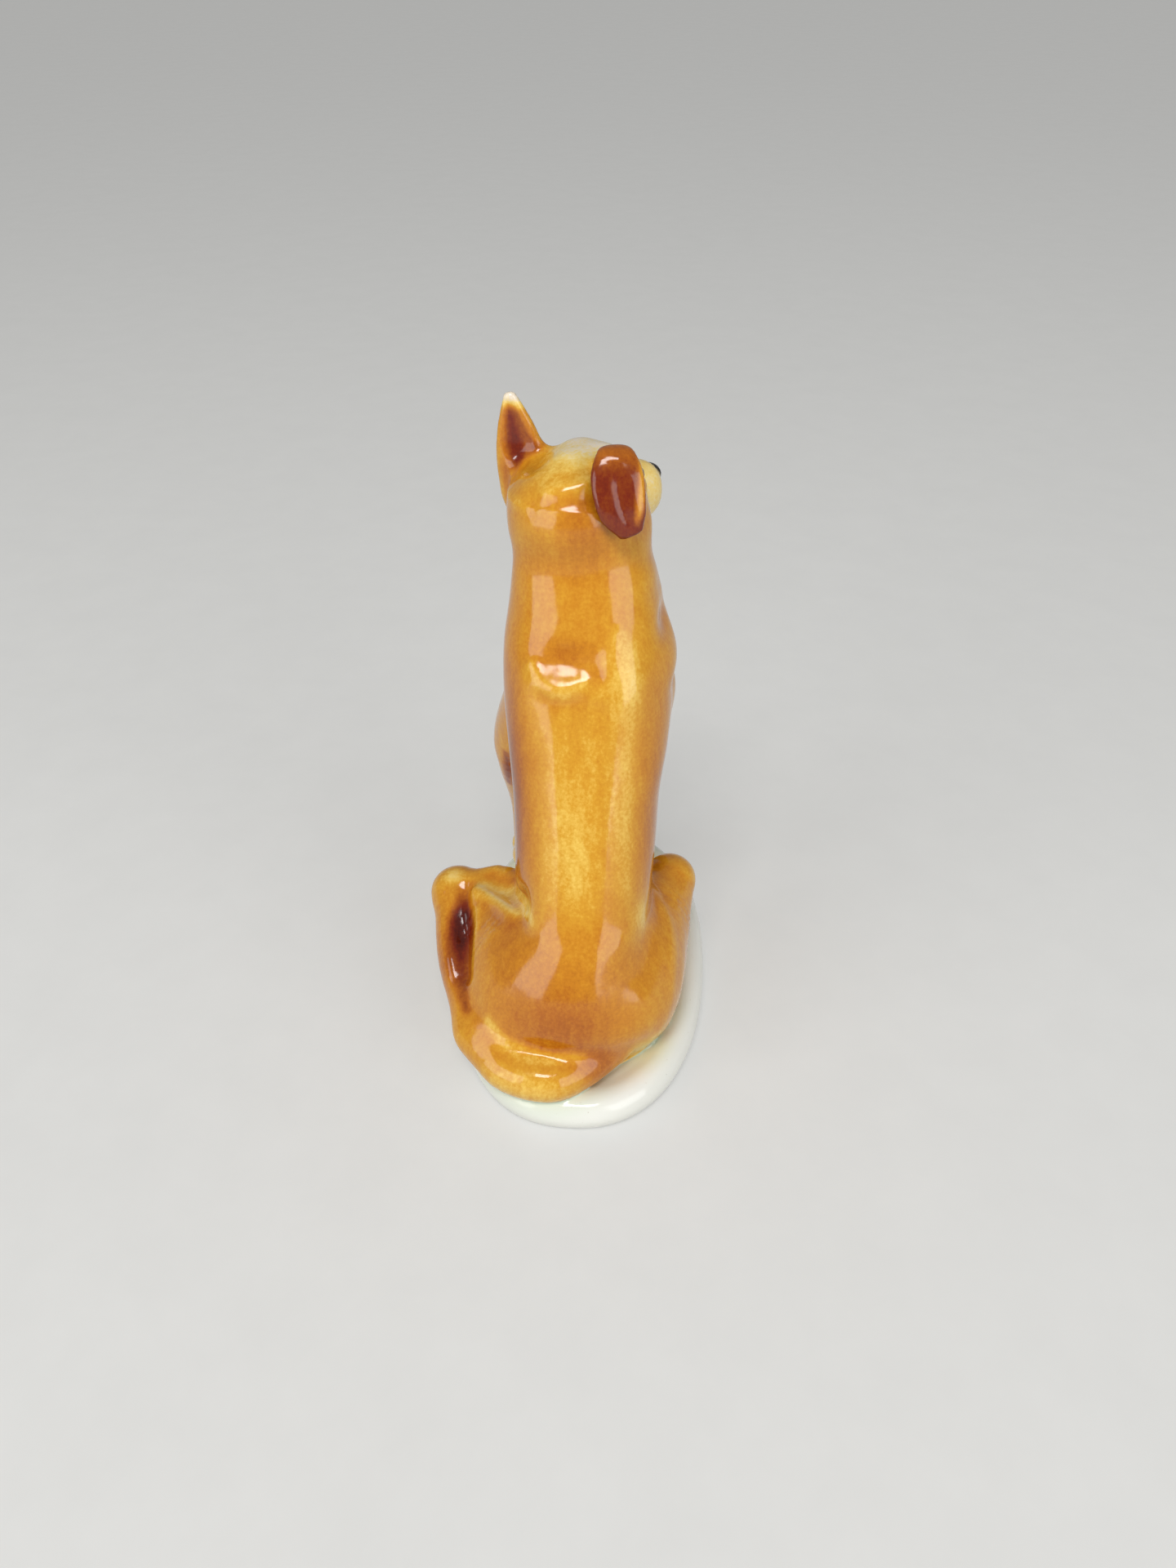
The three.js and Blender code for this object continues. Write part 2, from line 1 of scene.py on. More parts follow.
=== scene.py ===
"""Glazed porcelain dog figurine, dressed over its packed castings.

The figure is sculpted as one distance field, in millimetres and in the part's own frame: +Z is
up, the dog faces -Y and its left is +X. The skin of that field is then divided along the seams
of the castings, so that each casting is a closed piece of its own and the glaze runs over the
seams as it does on the fired figure.
"""

import math

import bpy
import numpy as np
from mathutils import Matrix, Vector


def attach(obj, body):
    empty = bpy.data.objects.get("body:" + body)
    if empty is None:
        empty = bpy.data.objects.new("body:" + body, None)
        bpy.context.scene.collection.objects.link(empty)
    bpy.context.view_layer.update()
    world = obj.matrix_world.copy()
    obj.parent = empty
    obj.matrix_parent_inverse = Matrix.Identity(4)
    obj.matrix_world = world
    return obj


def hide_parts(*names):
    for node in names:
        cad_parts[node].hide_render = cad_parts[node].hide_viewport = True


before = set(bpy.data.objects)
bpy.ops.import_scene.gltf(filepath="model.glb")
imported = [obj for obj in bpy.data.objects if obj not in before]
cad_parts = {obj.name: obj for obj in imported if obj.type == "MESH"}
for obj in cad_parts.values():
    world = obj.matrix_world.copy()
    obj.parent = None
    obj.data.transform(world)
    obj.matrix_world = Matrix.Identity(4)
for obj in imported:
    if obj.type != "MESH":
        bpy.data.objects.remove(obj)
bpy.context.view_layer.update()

MM = 0.001

# Plinth
PLINTH_WIDTH = 56.4
PLINTH_LENGTH = 92.4
RIM_HEIGHT = 7.4
TROUGH_DEPTH = 1.3
RIM_WIDTH = 9.0
FOOT_INSET = 2.4
SEAT = 8.2  # height of the seat on the plinth
PLINTH_SQUARENESS = 2.33
VENT_RADIUS = 4.0

# Torso
TORSO_HEIGHT = 99.0
RUMP_REACH = 37.5
CHEST_REACH = 24.5
TORSO_HALF_WIDTH = 17.0
TORSO_LEAN = 1.5
TORSO_SQUARENESS = 2.25

# Head
SKULL_HALF_WIDTH = 12.6
SKULL_HALF_LENGTH = 13.4
SKULL_HALF_HEIGHT = 10.2
SKULL_RISE = 9.0
SKULL_FORWARD = 11.5
SKULL_OFFSET = 0.8
HEAD_TURN = math.radians(30)
HEAD_LIFT = math.radians(1)
MUZZLE_LENGTH = 25.0
MUZZLE_DROP = 5.5
MUZZLE_HALF_WIDTH = 5.4
MUZZLE_HALF_HEIGHT = 6.6

# Ears
EAR_HEIGHT = 16.5
EAR_HALF_WIDTH = 4.6
EAR_THICKNESS = 4.4
FOLDED_EAR_RISE = 6.0
FOLDED_EAR_REACH = 9.2
FOLDED_EAR_HANG = 12.5
FOLDED_EAR_TURN = math.radians(40)
FOLDED_EAR_HALF_WIDTH = 4.6
FOLDED_EAR_THICKNESS = 3.2
FOLDED_EAR_SQUARENESS = 2.6

# Forelegs
LEG_RADIUS = 4.9
ELBOW_SPREADS = {1: 15.8, -1: 12.0}  # by side: 1 is the dog's left
ELBOW_REACH = 19.0
ELBOW_HEIGHT = 41.0
PAW_HALF_WIDTH = 5.4
PAW_HALF_LENGTH = 7.6
PAW_HEIGHT = 8.0
FORE_PAW_REACH = 31.0
FORE_PAW_SPREADS = {1: 15.5, -1: 8.5}

# Hind legs
KNEE_HEIGHTS = {1: 22.8, -1: 24.0}
KNEE_SPREADS = {1: 28.7, -1: 19.4}
KNEE_REACHES = {1: -1.6, -1: 4.5}
THIGH_HALF_WIDTH = 10.8
THIGH_HALF_DEPTH = 13.4
THIGH_SPREAD = 12.5
THIGH_REACH = 14.0
HAUNCH_SPREADS = {1: 13.0, -1: 10.5}
HAUNCH_REACHES = {1: 27.0, -1: 24.0}
KNEE_RADIUS = 5.2
SHANK_RADIUS = 4.6
HOCK_REACHES = {1: 31.5, -1: 17.0}
HOCK_SPREADS = {1: 19.0, -1: 17.0}
HIND_PAW_REACH = 15.0
HIND_PAW_SPREADS = {1: 20.0, -1: 17.0}

# Tail
TAIL_RADIUS = 4.9
TAIL_ROOT_SPREAD = 9.0
TAIL_STANDOFF = 3.2

# Sculpting grid
CELL = 0.6
BLOCK = 8  # cells along each side of a block
SOLID_LAYER = 5.0  # up from the grid's floor, all of the plinth's places are joined below this
CRUMB_LAYER = 15.0  # and none of them are above this
FAR = 9.0  # field value given where no form is near
REACH = 7.0  # how far out of its own box each form is measured

# Radii of the slip that rounds each casting into the rest
FORELEG_BLEND = 3.0
HIND_LEG_BLEND = 4.5
SEAM_BLEND = 0.9

X_AXIS = np.array([1.0, 0.0, 0.0])
Z_AXIS = np.array([0.0, 0.0, 1.0])


def unit(v):
    v = np.asarray(v, float)
    return v / np.maximum(np.linalg.norm(v, axis=-1, keepdims=True), 1e-9)


def dot(a, b):
    return np.einsum("ij,ij->i", a, b)


def mix(a, b, t):
    return a + (b - a) * t


def smooth_union(a, b, blend):
    h = np.clip(0.5 + 0.5 * (b - a) / blend, 0.0, 1.0)
    return mix(b, a, h) - blend * h * (1.0 - h)


def smooth_cut(body, cutter, blend):
    return -smooth_union(-body, cutter, blend)


def curve_through(rows, steps):
    """Rows of numbers on a smooth curve through the given rows, steps to each stretch"""
    rows = np.asarray(rows, float)
    padded = np.vstack([2 * rows[0] - rows[1], rows, 2 * rows[-1] - rows[-2]])
    out = []
    for i in range(1, len(padded) - 2):
        a, b, c, d = padded[i - 1:i + 3]
        for t in np.arange(steps) / steps:
            out.append(0.5 * (2 * b + (c - a) * t + (2 * a - 5 * b + 4 * c - d) * t**2
                              + (3 * b - a - 3 * c + d) * t**3))
    return np.array(out + [rows[-1]])


def on_stretch(points, start, end):
    """Where a straight stretch is nearest to each point, as a share, and the squared distance"""
    along, offset = end - start, points - start
    share = np.clip(offset @ along / (along @ along), 0.0, 1.0)
    offset = offset - share[:, None] * along
    return share, dot(offset, offset)


class Ellipsoid:
    def __init__(self, centre, radii, basis=None):
        self.centre = np.asarray(centre, float)
        self.radii = np.asarray(radii, float)
        self.basis = np.eye(3) if basis is None else np.asarray(basis, float)
        self.low = self.centre - self.radii.max()
        self.high = self.centre + self.radii.max()

    def distance(self, points):
        q = (points - self.centre) @ self.basis.T
        k0 = np.linalg.norm(q / self.radii, axis=1)
        k1 = np.linalg.norm(q / self.radii**2, axis=1)
        return k0 * (k0 - 1.0) / np.maximum(k1, 1e-6)


class Sweep:
    """Round form swept along a curve; stations are (place, half width across, half depth)"""

    def __init__(self, stations, reference=X_AXIS, squareness=2.0, steps=5):
        rows = curve_through([[*place, across, deep] for place, across, deep in stations], steps)
        self.centres, self.sizes = rows[:, :3], rows[:, 3:]
        self.tangents = unit(np.gradient(self.centres, axis=0))
        lean = self.tangents @ reference
        self.sides = unit(reference - lean[:, None] * self.tangents)
        self.ups = np.cross(self.tangents, self.sides)
        self.squareness = squareness
        size = self.sizes.max()
        self.low = self.centres.min(0) - size
        self.high = self.centres.max(0) + size

    def nearest(self, points):
        """Nearest stretch of the curve to each point, as a row number with its fraction"""
        best = np.full(len(points), np.inf)
        row = np.zeros(len(points))
        for i in range(len(self.centres) - 1):
            t, gap = on_stretch(points, *self.centres[i:i + 2])
            closer = gap < best
            best = np.where(closer, gap, best)
            row = np.where(closer, i + t, row)
        return row, np.sqrt(best)

    def distance(self, points):
        row, _ = self.nearest(points)
        low = np.minimum(row.astype(int), len(self.centres) - 2)
        t = (row - low)[:, None]

        def at(values):
            return mix(values[low], values[low + 1], t)

        offset = points - at(self.centres)
        size = at(self.sizes)
        n = self.squareness
        radii = (size[:, 0], size[:, 1], size.min(1))
        parts = zip((self.sides, self.ups, self.tangents), radii)
        reach = sum((np.abs(dot(offset, at(axis))) / r)**n for axis, r in parts) ** (1 / n)
        length = np.linalg.norm(offset, axis=1)
        inside = length < 1e-3
        reach = np.where(inside, 1.0, np.maximum(reach, 1e-6))
        return np.where(inside, -size.min(1), (1.0 - 1.0 / reach) * length)


# Shares of torso height, rump reach, chest reach, half width and lean, on into the neck
TORSO_TABLE = curve_through([
    [0, 0.88, 0.1, 0.98, 0.6],
    [0.05, 0.95, 0.14, 1.13, 0.6],
    [0.12, 1, 0.18, 1.17, 0.3],
    [0.18, 0.98, 0.21, 1.09, -0.1],
    [0.24, 0.92, 0.25, 0.95, 0],
    [0.3, 0.85, 0.31, 0.82, 0.9],
    [0.35, 0.76, 0.37, 0.85, 0.8],
    [0.43, 0.668, 0.48, 0.865, 0.9],
    [0.53, 0.562, 0.64, 0.89, 0.9],
    [0.63, 0.457, 0.8, 0.96, 1],
    [0.73, 0.36, 0.94, 1, 0.9],
    [0.82, 0.265, 1, 0.985, 0.8],
    [0.91, 0.13, 0.93, 0.89, 0.6],
    [1, 0.03, 0.82, 0.775, 0],
    [1.05, -0.02, 0.79, 0.74, -0.2],
    [1.1, -0.06, 0.78, 0.66, -0.5],
], 12)


def torso_section(share):
    """Middle x, middle y, half width and half depth of the torso at a share of its height"""
    heights, *columns = TORSO_TABLE.T
    rump, chest, width, lean = [np.interp(share, heights, column) for column in columns]
    back, front = rump * RUMP_REACH, -chest * CHEST_REACH
    return -lean * TORSO_LEAN, (back + front) / 2, width * TORSO_HALF_WIDTH, (back - front) / 2


class Torso:
    low = np.array([-TORSO_HALF_WIDTH * 1.3, -CHEST_REACH, 0.0])
    high = np.array([TORSO_HALF_WIDTH * 1.2, RUMP_REACH, SEAT + TORSO_HEIGHT * 1.1])

    def distance(self, points):
        share = (points[:, 2] - SEAT) / TORSO_HEIGHT
        x, y, half_width, half_depth = torso_section(np.clip(share, 0.0, 1.1))
        dx, dy = points[:, 0] - x, points[:, 1] - y
        n = TORSO_SQUARENESS
        reach = (np.abs(dx / half_width)**n + np.abs(dy / half_depth)**n) ** (1 / n)
        length = np.hypot(dx, dy)
        side = (1.0 - 1.0 / np.maximum(reach, 1e-3)) * length
        side = np.maximum(side, -half_width)
        return np.maximum(0.93 * side, points[:, 2] - self.high[2])


class Plinth:
    """Oval base: the distance in the plane of its inset and height to its rim's profile"""

    low = np.array([-PLINTH_WIDTH / 2, -PLINTH_LENGTH / 2, 0.0])
    high = np.array([PLINTH_WIDTH / 2, PLINTH_LENGTH / 2, SEAT])

    def __init__(self):
        side = [(1, 0), (0.45, 0.06), (0.08, 0.26), (0, 0.5), (0.3, 0.76)]
        rim = [(0.22, 0.93), (0.4, 1), (0.62, 0.98)]
        trough = RIM_HEIGHT - TROUGH_DEPTH
        rows = [(inset * FOOT_INSET, height * RIM_HEIGHT) for inset, height in side]
        rows += [(inset * RIM_WIDTH, height * RIM_HEIGHT) for inset, height in rim]
        rows += [(RIM_WIDTH, trough), (1.5 * RIM_WIDTH, trough), (2 * RIM_WIDTH, SEAT)]
        curve = curve_through(rows, 5)
        curve[:, 1] = np.maximum(curve[:, 1], 0.0)
        deep = 10 * RIM_WIDTH
        self.profile = np.vstack([curve, [(deep, SEAT), (deep, 0.0)]])

    def inset(self, points):
        n = PLINTH_SQUARENESS
        across = np.abs(points[:, 0] / (PLINTH_WIDTH / 2))
        along = np.abs(points[:, 1] / (PLINTH_LENGTH / 2))
        reach = np.maximum((across**n + along**n) ** (1 / n), 1e-3)
        return -(1.0 - 1.0 / reach) * np.hypot(points[:, 0], points[:, 1])

    def distance(self, points):
        place = np.column_stack([self.inset(points), points[:, 2]])
        gap = np.full(len(points), np.inf)
        sign = np.ones(len(points))
        previous = self.profile[-1]
        for corner in self.profile:
            gap = np.minimum(gap, on_stretch(place, corner, previous)[1])
            edge, offset = previous - corner, place - corner
            above = place[:, 1] >= corner[1]
            below = place[:, 1] < previous[1]
            turn = edge[0] * offset[:, 1] > edge[1] * offset[:, 0]
            sign = np.where((above == below) & (below == turn), -sign, sign)
            previous = corner
        return sign * np.sqrt(gap)


# Directions of the turned head, and places on it
NECK_SEAM = SEAT + TORSO_HEIGHT
SKULL_CENTRE = np.array([SKULL_OFFSET, -SKULL_FORWARD, NECK_SEAM + SKULL_RISE])
HEAD_FORWARD = np.array([
    -math.sin(HEAD_TURN) * math.cos(HEAD_LIFT),
    -math.cos(HEAD_TURN) * math.cos(HEAD_LIFT),
    math.sin(HEAD_LIFT),
])
HEAD_LEFT = np.array([math.cos(HEAD_TURN), -math.sin(HEAD_TURN), 0.0])
HEAD_UP = -np.cross(HEAD_LEFT, HEAD_FORWARD)
HEAD_BASIS = np.array([HEAD_LEFT, HEAD_FORWARD, HEAD_UP])


def on_head(left, forward, up):
    return SKULL_CENTRE + np.array([left, forward, up]) @ HEAD_BASIS


EYES = [Ellipsoid(on_head(side * 5.4, 11.4, 2.4), (1.7, 1.8, 1.4), HEAD_BASIS) for side in (1, -1)]
NOSE = Ellipsoid(on_head(-0.5, 24.3, -3.4), (2.7, 1.6, 2.0), HEAD_BASIS)


def head_forms():
    down = -MUZZLE_DROP
    tip = MUZZLE_LENGTH - MUZZLE_HALF_WIDTH
    muzzle = Sweep([
        (on_head(0, 0, down), SKULL_HALF_WIDTH * 0.85, SKULL_HALF_HEIGHT * 0.7),
        (on_head(0, tip * 0.5, down), SKULL_HALF_WIDTH * 0.64, MUZZLE_HALF_HEIGHT * 1.12),
        (on_head(0, tip * 0.78, down), MUZZLE_HALF_WIDTH * 1.04, MUZZLE_HALF_HEIGHT * 0.98),
        (on_head(0, tip, down), MUZZLE_HALF_WIDTH, MUZZLE_HALF_HEIGHT * 0.92),
    ], HEAD_LEFT, 2.2)
    skull_radii = (SKULL_HALF_WIDTH, SKULL_HALF_LENGTH, SKULL_HALF_HEIGHT)
    forms = [(Ellipsoid(SKULL_CENTRE, skull_radii, HEAD_BASIS), 1.0), (muzzle, 3.0)]
    return forms + [(bead, 0.5) for bead in (*EYES, NOSE)]


def upright_ear():
    base = on_head(SKULL_HALF_WIDTH, SKULL_HALF_LENGTH * 0.04, SKULL_HALF_HEIGHT * 0.1)
    lean = unit([0.14, 0.0, 1.0])
    leaf = [
        (-0.5, 0.8, 1.3), (-0.2, 1.1, 1.2), (0, 1.12, 1.05), (0.3, 1.04, 0.95),
        (0.6, 0.82, 0.75), (0.85, 0.5, 0.52), (1, 0.27, 0.36),
    ]
    body = Sweep([
        (base + lean * rise * EAR_HEIGHT, wide * EAR_HALF_WIDTH, thick * EAR_THICKNESS / 2)
        for rise, wide, thick in leaf
    ])
    return body, base, lean


def folded_ear():
    turn = np.array(Matrix.Rotation(FOLDED_EAR_TURN, 3, "Z"))
    across = turn @ HEAD_LEFT
    out = np.cross(Z_AXIS, across)
    root = on_head(-SKULL_HALF_WIDTH * 0.6, SKULL_HALF_LENGTH * 0.02, SKULL_HALF_HEIGHT * 0.65)
    shares = [
        (0, 0, 0, 0.52, 1, 0),
        (0.2, 0.8, 0, 0.56, 1, 0),
        (0.47, 1, 0, 0.76, 0.9, 0),
        (0.74, 1, 0.22, 1.02, 0.8, 0),
        (0.93, 1, 0.55, 1.0, 0.8, 0.1),
        (1.0, 1, 0.78, 0.84, 0.75, 0.3),
        (1.02, 1, 0.96, 0.56, 0.7, 0.48),
    ]
    stations = []
    for reach, rise, hang, wide, thick, aside in shares:
        place = root + out * reach * FOLDED_EAR_REACH - across * aside * FOLDED_EAR_HALF_WIDTH
        place += Z_AXIS * (rise * FOLDED_EAR_RISE - hang * FOLDED_EAR_HANG)
        stations.append((place, wide * FOLDED_EAR_HALF_WIDTH, thick * FOLDED_EAR_THICKNESS / 2))
    return Sweep(stations, across, FOLDED_EAR_SQUARENESS)


def toes(x, y, width):
    """Four toes at the front of a paw, the middle two further forward"""
    height = SEAT + PAW_HEIGHT * 0.24
    radii = (width * 0.34, width * 0.62, width * 0.46)
    return [
        (Ellipsoid((x + share * width, y - forward, height), radii), 0.5)
        for share, forward in ((-0.75, 0.0), (-0.26, 1.3), (0.26, 1.3), (0.75, 0.0))
    ]


def foreleg(side):
    """Foreleg with its paw; side is 1 for the dog's left and -1 for its right"""
    x, y, half_width, half_depth = torso_section(0.7)
    shoulder = (
        x + side * (half_width - LEG_RADIUS), y - half_depth * 0.3, SEAT + 0.7 * TORSO_HEIGHT,
    )
    elbow = np.array([side * ELBOW_SPREADS[side], -ELBOW_REACH, SEAT + ELBOW_HEIGHT])
    paw = np.array([side * FORE_PAW_SPREADS[side], -FORE_PAW_REACH, SEAT + PAW_HEIGHT * 0.4])
    leg = Sweep([(place, LEG_RADIUS * wide, LEG_RADIUS * deep) for place, wide, deep in (
        (shoulder, 1.0, 1.6),
        (elbow * (1.0, 0.9, 1.0) + (0.0, 0.0, LEG_RADIUS * 2), 1.02, 1.5),
        (elbow, 1.0, 1.2),
        (mix(elbow, paw, (0.45, 0.6, 0.5)), 0.8, 0.86),
        (paw * (1.0, 0.9, 1.0), 0.88, 0.9),
    )])
    paw_radii = (PAW_HALF_WIDTH * 0.94, PAW_HALF_LENGTH * 0.86, PAW_HEIGHT / 2)
    ball = Ellipsoid((paw[0], paw[1], SEAT + PAW_HEIGHT * 0.3), paw_radii)
    toe_forms = toes(paw[0], paw[1] - PAW_HALF_LENGTH * 0.42, PAW_HALF_WIDTH)
    return [(leg, 1.0), (ball, 2.5), *toe_forms]


# Broad mass that rounds the rump off: place and radii
RUMP = (1.5, 18, 17), (20.8, 19.4, 22)


def hind_leg(side):
    """Hind leg from the haunch to the toes, folded at the knee and the hock"""
    wide, deep = THIGH_HALF_WIDTH, THIGH_HALF_DEPTH
    hip = np.array([side * THIGH_SPREAD, THIGH_REACH, SEAT + deep * 0.92])
    knee_z = SEAT + KNEE_HEIGHTS[side] - KNEE_RADIUS
    knee = np.array([side * KNEE_SPREADS[side], -KNEE_REACHES[side], knee_z])
    hock_z = SEAT + SHANK_RADIUS * 0.8
    hock = np.array([side * HOCK_SPREADS[side], HOCK_REACHES[side], hock_z])
    paw_x = side * HIND_PAW_SPREADS[side]
    thigh = Sweep([
        (hip * (0.8, 1.0, 1.0) + (0.0, wide * 0.9, -deep * 0.2), wide * 0.96, deep * 0.8),
        (hip, wide, deep),
        (mix(hip, knee, (0.45, 0.6, 0.6)), wide * 0.8, deep * 0.7),
        (knee, KNEE_RADIUS, KNEE_RADIUS),
    ])
    shank = Sweep([
        (knee, KNEE_RADIUS, KNEE_RADIUS),
        (mix(knee, hock, (0.25, 0.5, 0.55)), SHANK_RADIUS * 1.02, SHANK_RADIUS * 1.4),
        (hock, SHANK_RADIUS, SHANK_RADIUS),
    ])
    foot = Sweep([
        (hock, SHANK_RADIUS * 0.9, SHANK_RADIUS * 0.9),
        ((paw_x, 0.0, hock_z), SHANK_RADIUS * 0.86, SHANK_RADIUS * 0.86),
        ((paw_x, -HIND_PAW_REACH * 0.9, hock_z), PAW_HALF_WIDTH * 0.86, PAW_HEIGHT * 0.42),
    ])
    toe_forms = toes(paw_x, -HIND_PAW_REACH * 1.05, PAW_HALF_WIDTH * 0.9)

    rise = (0.0, 0.0, KNEE_RADIUS * 0.35)
    low = np.array([side * HAUNCH_SPREADS[side], HAUNCH_REACHES[side], SEAT + deep * 0.4])
    high, end = (mix(hip, knee, share) + rise for share in (0.32, 0.6))
    haunch = Sweep([
        (low, wide * 0.88, wide * 0.88),
        (mix(low, high, 0.5), wide * 0.82, deep * 0.73),
        (high, wide * 0.58, deep * 0.51),
        (end, SHANK_RADIUS, KNEE_RADIUS),
    ])
    return [(thigh, 1.0), (haunch, 3.0), (shank, 3.2), (foot, 2.0), *toe_forms]


def tail():
    low = SEAT + TAIL_RADIUS * 0.55
    sweep = RUMP_REACH + TAIL_STANDOFF
    hock_spread, hock_reach = HOCK_SPREADS[1], HOCK_REACHES[1]
    stations = [
        ((-TAIL_ROOT_SPREAD, RUMP_REACH * 0.88, low), 0.6),
        ((-TAIL_ROOT_SPREAD * 0.3, RUMP_REACH, low), 0.85),
        ((TAIL_ROOT_SPREAD * 0.5, sweep, low), 1.0),
        ((hock_spread * 0.72, mix(hock_reach, sweep, 0.72), low), 1.0),
        ((hock_spread, hock_reach, SEAT + SHANK_RADIUS * 0.8), 0.9),
    ]
    return Sweep([(p, g * TAIL_RADIUS, g * TAIL_RADIUS) for p, g in stations], Z_AXIS)


EAR_BODY, EAR_BASE, EAR_LEAN = upright_ear()

# Castings in the order that they are luted on: name, forms with their blends, blend to the rest
CASTINGS = [
    ("torso", [(Torso(), 1.0), (Ellipsoid(*RUMP), 5.0)], 1.0),
    ("head", head_forms(), 5.0),
    ("foreleg_left", foreleg(1), FORELEG_BLEND),
    ("foreleg_right", foreleg(-1), FORELEG_BLEND),
    ("hind_leg_left", hind_leg(1), HIND_LEG_BLEND),
    ("hind_leg_right", hind_leg(-1), HIND_LEG_BLEND),
    ("tail", [(tail(), 1.0)], 4.0),
    ("ear_left_upright", [(EAR_BODY, 1.0)], 4.0),
    ("ear_right_folded", [(folded_ear(), 1.0)], 2.2),
    ("plinth", [(Plinth(), 1.0)], SEAM_BLEND),
]
NAMES = [name for name, _, _ in CASTINGS]
LEGS = slice(2, 6)  # their places in that order
PLINTH_NUMBER = len(NAMES)  # castings are numbered from 1, and 0 is outside

# Swellings and hollows of the body: place, radii, and how far the skin moves out
BODY_SWELLS = [
    ((2, 8, 93.4), (5.6, 5, 2.8), -1.2),  # dimple of the withers, and the ledge under it
    ((3.6, 10.2, 88.6), (4.8, 5, 2), 0.65),
    ((-4.6, 8.6, 90.6), (1.8, 4, 2.2), -0.6),
    ((9.5, 8, 84), (4, 5, 10), 0.7),  # left shoulder blade
    ((-9.5, 7.5, 88), (4.2, 6, 9.5), 1.2),  # right shoulder blade
    ((-0.5, 13.5, 76), (2.4, 6, 11), -0.5),  # spine
    ((-17.5, -6, 87), (4, 7, 4), 0.7),  # folds of the coat down the right shoulder
    ((-15.5, -6, 100), (4, 7, 3), -0.6),
    ((-16.5, -7, 94.6), (4, 6, 3.4), -1.7),
    ((-17.5, -7, 82), (4, 6, 2.2), -0.4),
    ((-13.2, -7.5, 115), (4, 6, 4.2), -1.9),  # right side of the throat
    ((14, -6, 116.5), (4, 5, 3.4), -0.2),  # under the upright ear
    ((-1, -24.5, 86), (7, 5, 11), 1),  # breastbone
    ((0, -20, 70), (5, 4, 6), -0.8),
    ((-1.5, 37, 33), (9, 6, 8), 0.5),  # rump
    ((-16, 33, 9), (7, 7, 8), -2),  # foot of the right haunch
    ((19, -0.5, 33), (5.5, 5.5, 4), 2.8),  # front of the left thigh
    ((25.8, 30.5, 13), (3, 5, 4), 1),  # left hock
    ((10.6, 21.4, 42.6), (2.8, 3.6, 5), -1.1),  # left of the waist
]

# Swellings and hollows of the head: left, forward and up from the skull's centre
HEAD_SWELLS = [
    ((0, 13, 3.2), (3, 3.4, 3), -1.1),  # stop between the eyes
    ((6.5, -3, 8), (3.4, 5, 3), -1.2),  # dip between the crown and the upright ear
    ((-2, -2, 10), (4, 5, 3), 0.6),  # crown
]
for side in (1, -1):
    HEAD_SWELLS += [
        ((side * 3.4, 6, 9), (3.6, 4, 3), 1),  # brows
        ((side * 5, 14, -1.4), (2.2, 3, 2.4), -0.8),  # under the eyes
        ((side * 8.6, 7, -5), (3.6, 4.6, 3.6), 0.8),  # cheeks
    ]

# Creases and ridges: points along them, half width, and how far the skin moves out
CREASES = [
    # Left thigh: ridge, valley behind it, edge of the haunch, and groove by the shank
    ([(23, 7.4, 32), (18.5, 11.4, 33.4), (13.8, 18, 35.8), (11, 21, 34.5)], 1.6, 1.1),
    ([(20.6, 4.6, 33.6), (15.4, 9.4, 34.8), (11.8, 16.6, 38.4), (10, 19, 42)], 2.4, -1.6),
    ([(21.6, 12, 30.4), (21.2, 18, 27), (20.4, 26, 20)], 1.3, 0.5),
    ([(25.6, 6, 30.2), (25.6, 11, 28.6), (25.4, 16, 26.2), (24.2, 23, 21.8)], 2.5, -1.5),
    # Right haunch, ledge of the withers, and edge of the right shoulder blade
    ([(-15.5, 8, 33.5), (-18.8, 14, 30), (-19.6, 23, 24), (-17, 29, 15)], 1.8, 0.6),
    ([(8.8, 7, 91.6), (6, 9.4, 89), (2.6, 10.4, 88), (-1.4, 10, 89.8)], 1.5, 0.35),
    ([(-4.6, 9.4, 87.6), (-6.2, 8, 93), (-7.6, 6, 98)], 2.2, 0.5),
    # Back of the head: ridge, fold under it, and dip at the upright ear
    ([(5.2, -2.8, 122), (2.4, -2.6, 122.6), (-1.4, -3, 123.8)], 1.5, 0.55),
    ([(7, -2.2, 118.6), (3, -1.4, 118.8), (-2.5, -1.6, 120.4)], 2.4, -0.6),
    ([(11, -9, 126), (7, -8, 128), (4, -6, 127.4)], 1.6, -0.8),
    # Folded ear: ridge of the fold, and hollow along its hanging edge
    ([(-4.6, -3.6, 128.4), (-7.2, -2.2, 128.6), (-10.4, -3.6, 127.2)], 1, 0.5),
    ([(-7.4, 1, 125), (-8, 1.8, 122.4), (-9.2, 2.2, 119.6)], 2, -0.35),
]


def mouth_points(side):
    return [on_head(*place) for place in (
        (0, 25.2, -5.8), (side * 2.6, 24.2, -8.4), (side * 5.3, 20.5, -9.4),
        (side * 6.8, 15.5, -9), (side * 8.2, 11.5, -7.4),
    )]


CREASES += [(mouth_points(side), 0.45, -0.7) for side in (1, -1)]
CREASES.append(([on_head(0, 25.4, -3.4), on_head(0, 25.2, -5.8)], 0.4, -0.6))


class Crease(Sweep):
    def __init__(self, points, half_width, rise):
        super().__init__([(p, half_width, half_width) for p in points], unit([0.3, 0.5, 0.8]))
        self.half_width, self.rise = half_width, rise
        self.low = self.centres.min(0) - 3 * half_width
        self.high = self.centres.max(0) + 3 * half_width

    def lift(self, points):
        _, gap = self.nearest(points)
        return self.rise * np.exp(-(gap / self.half_width)**2)


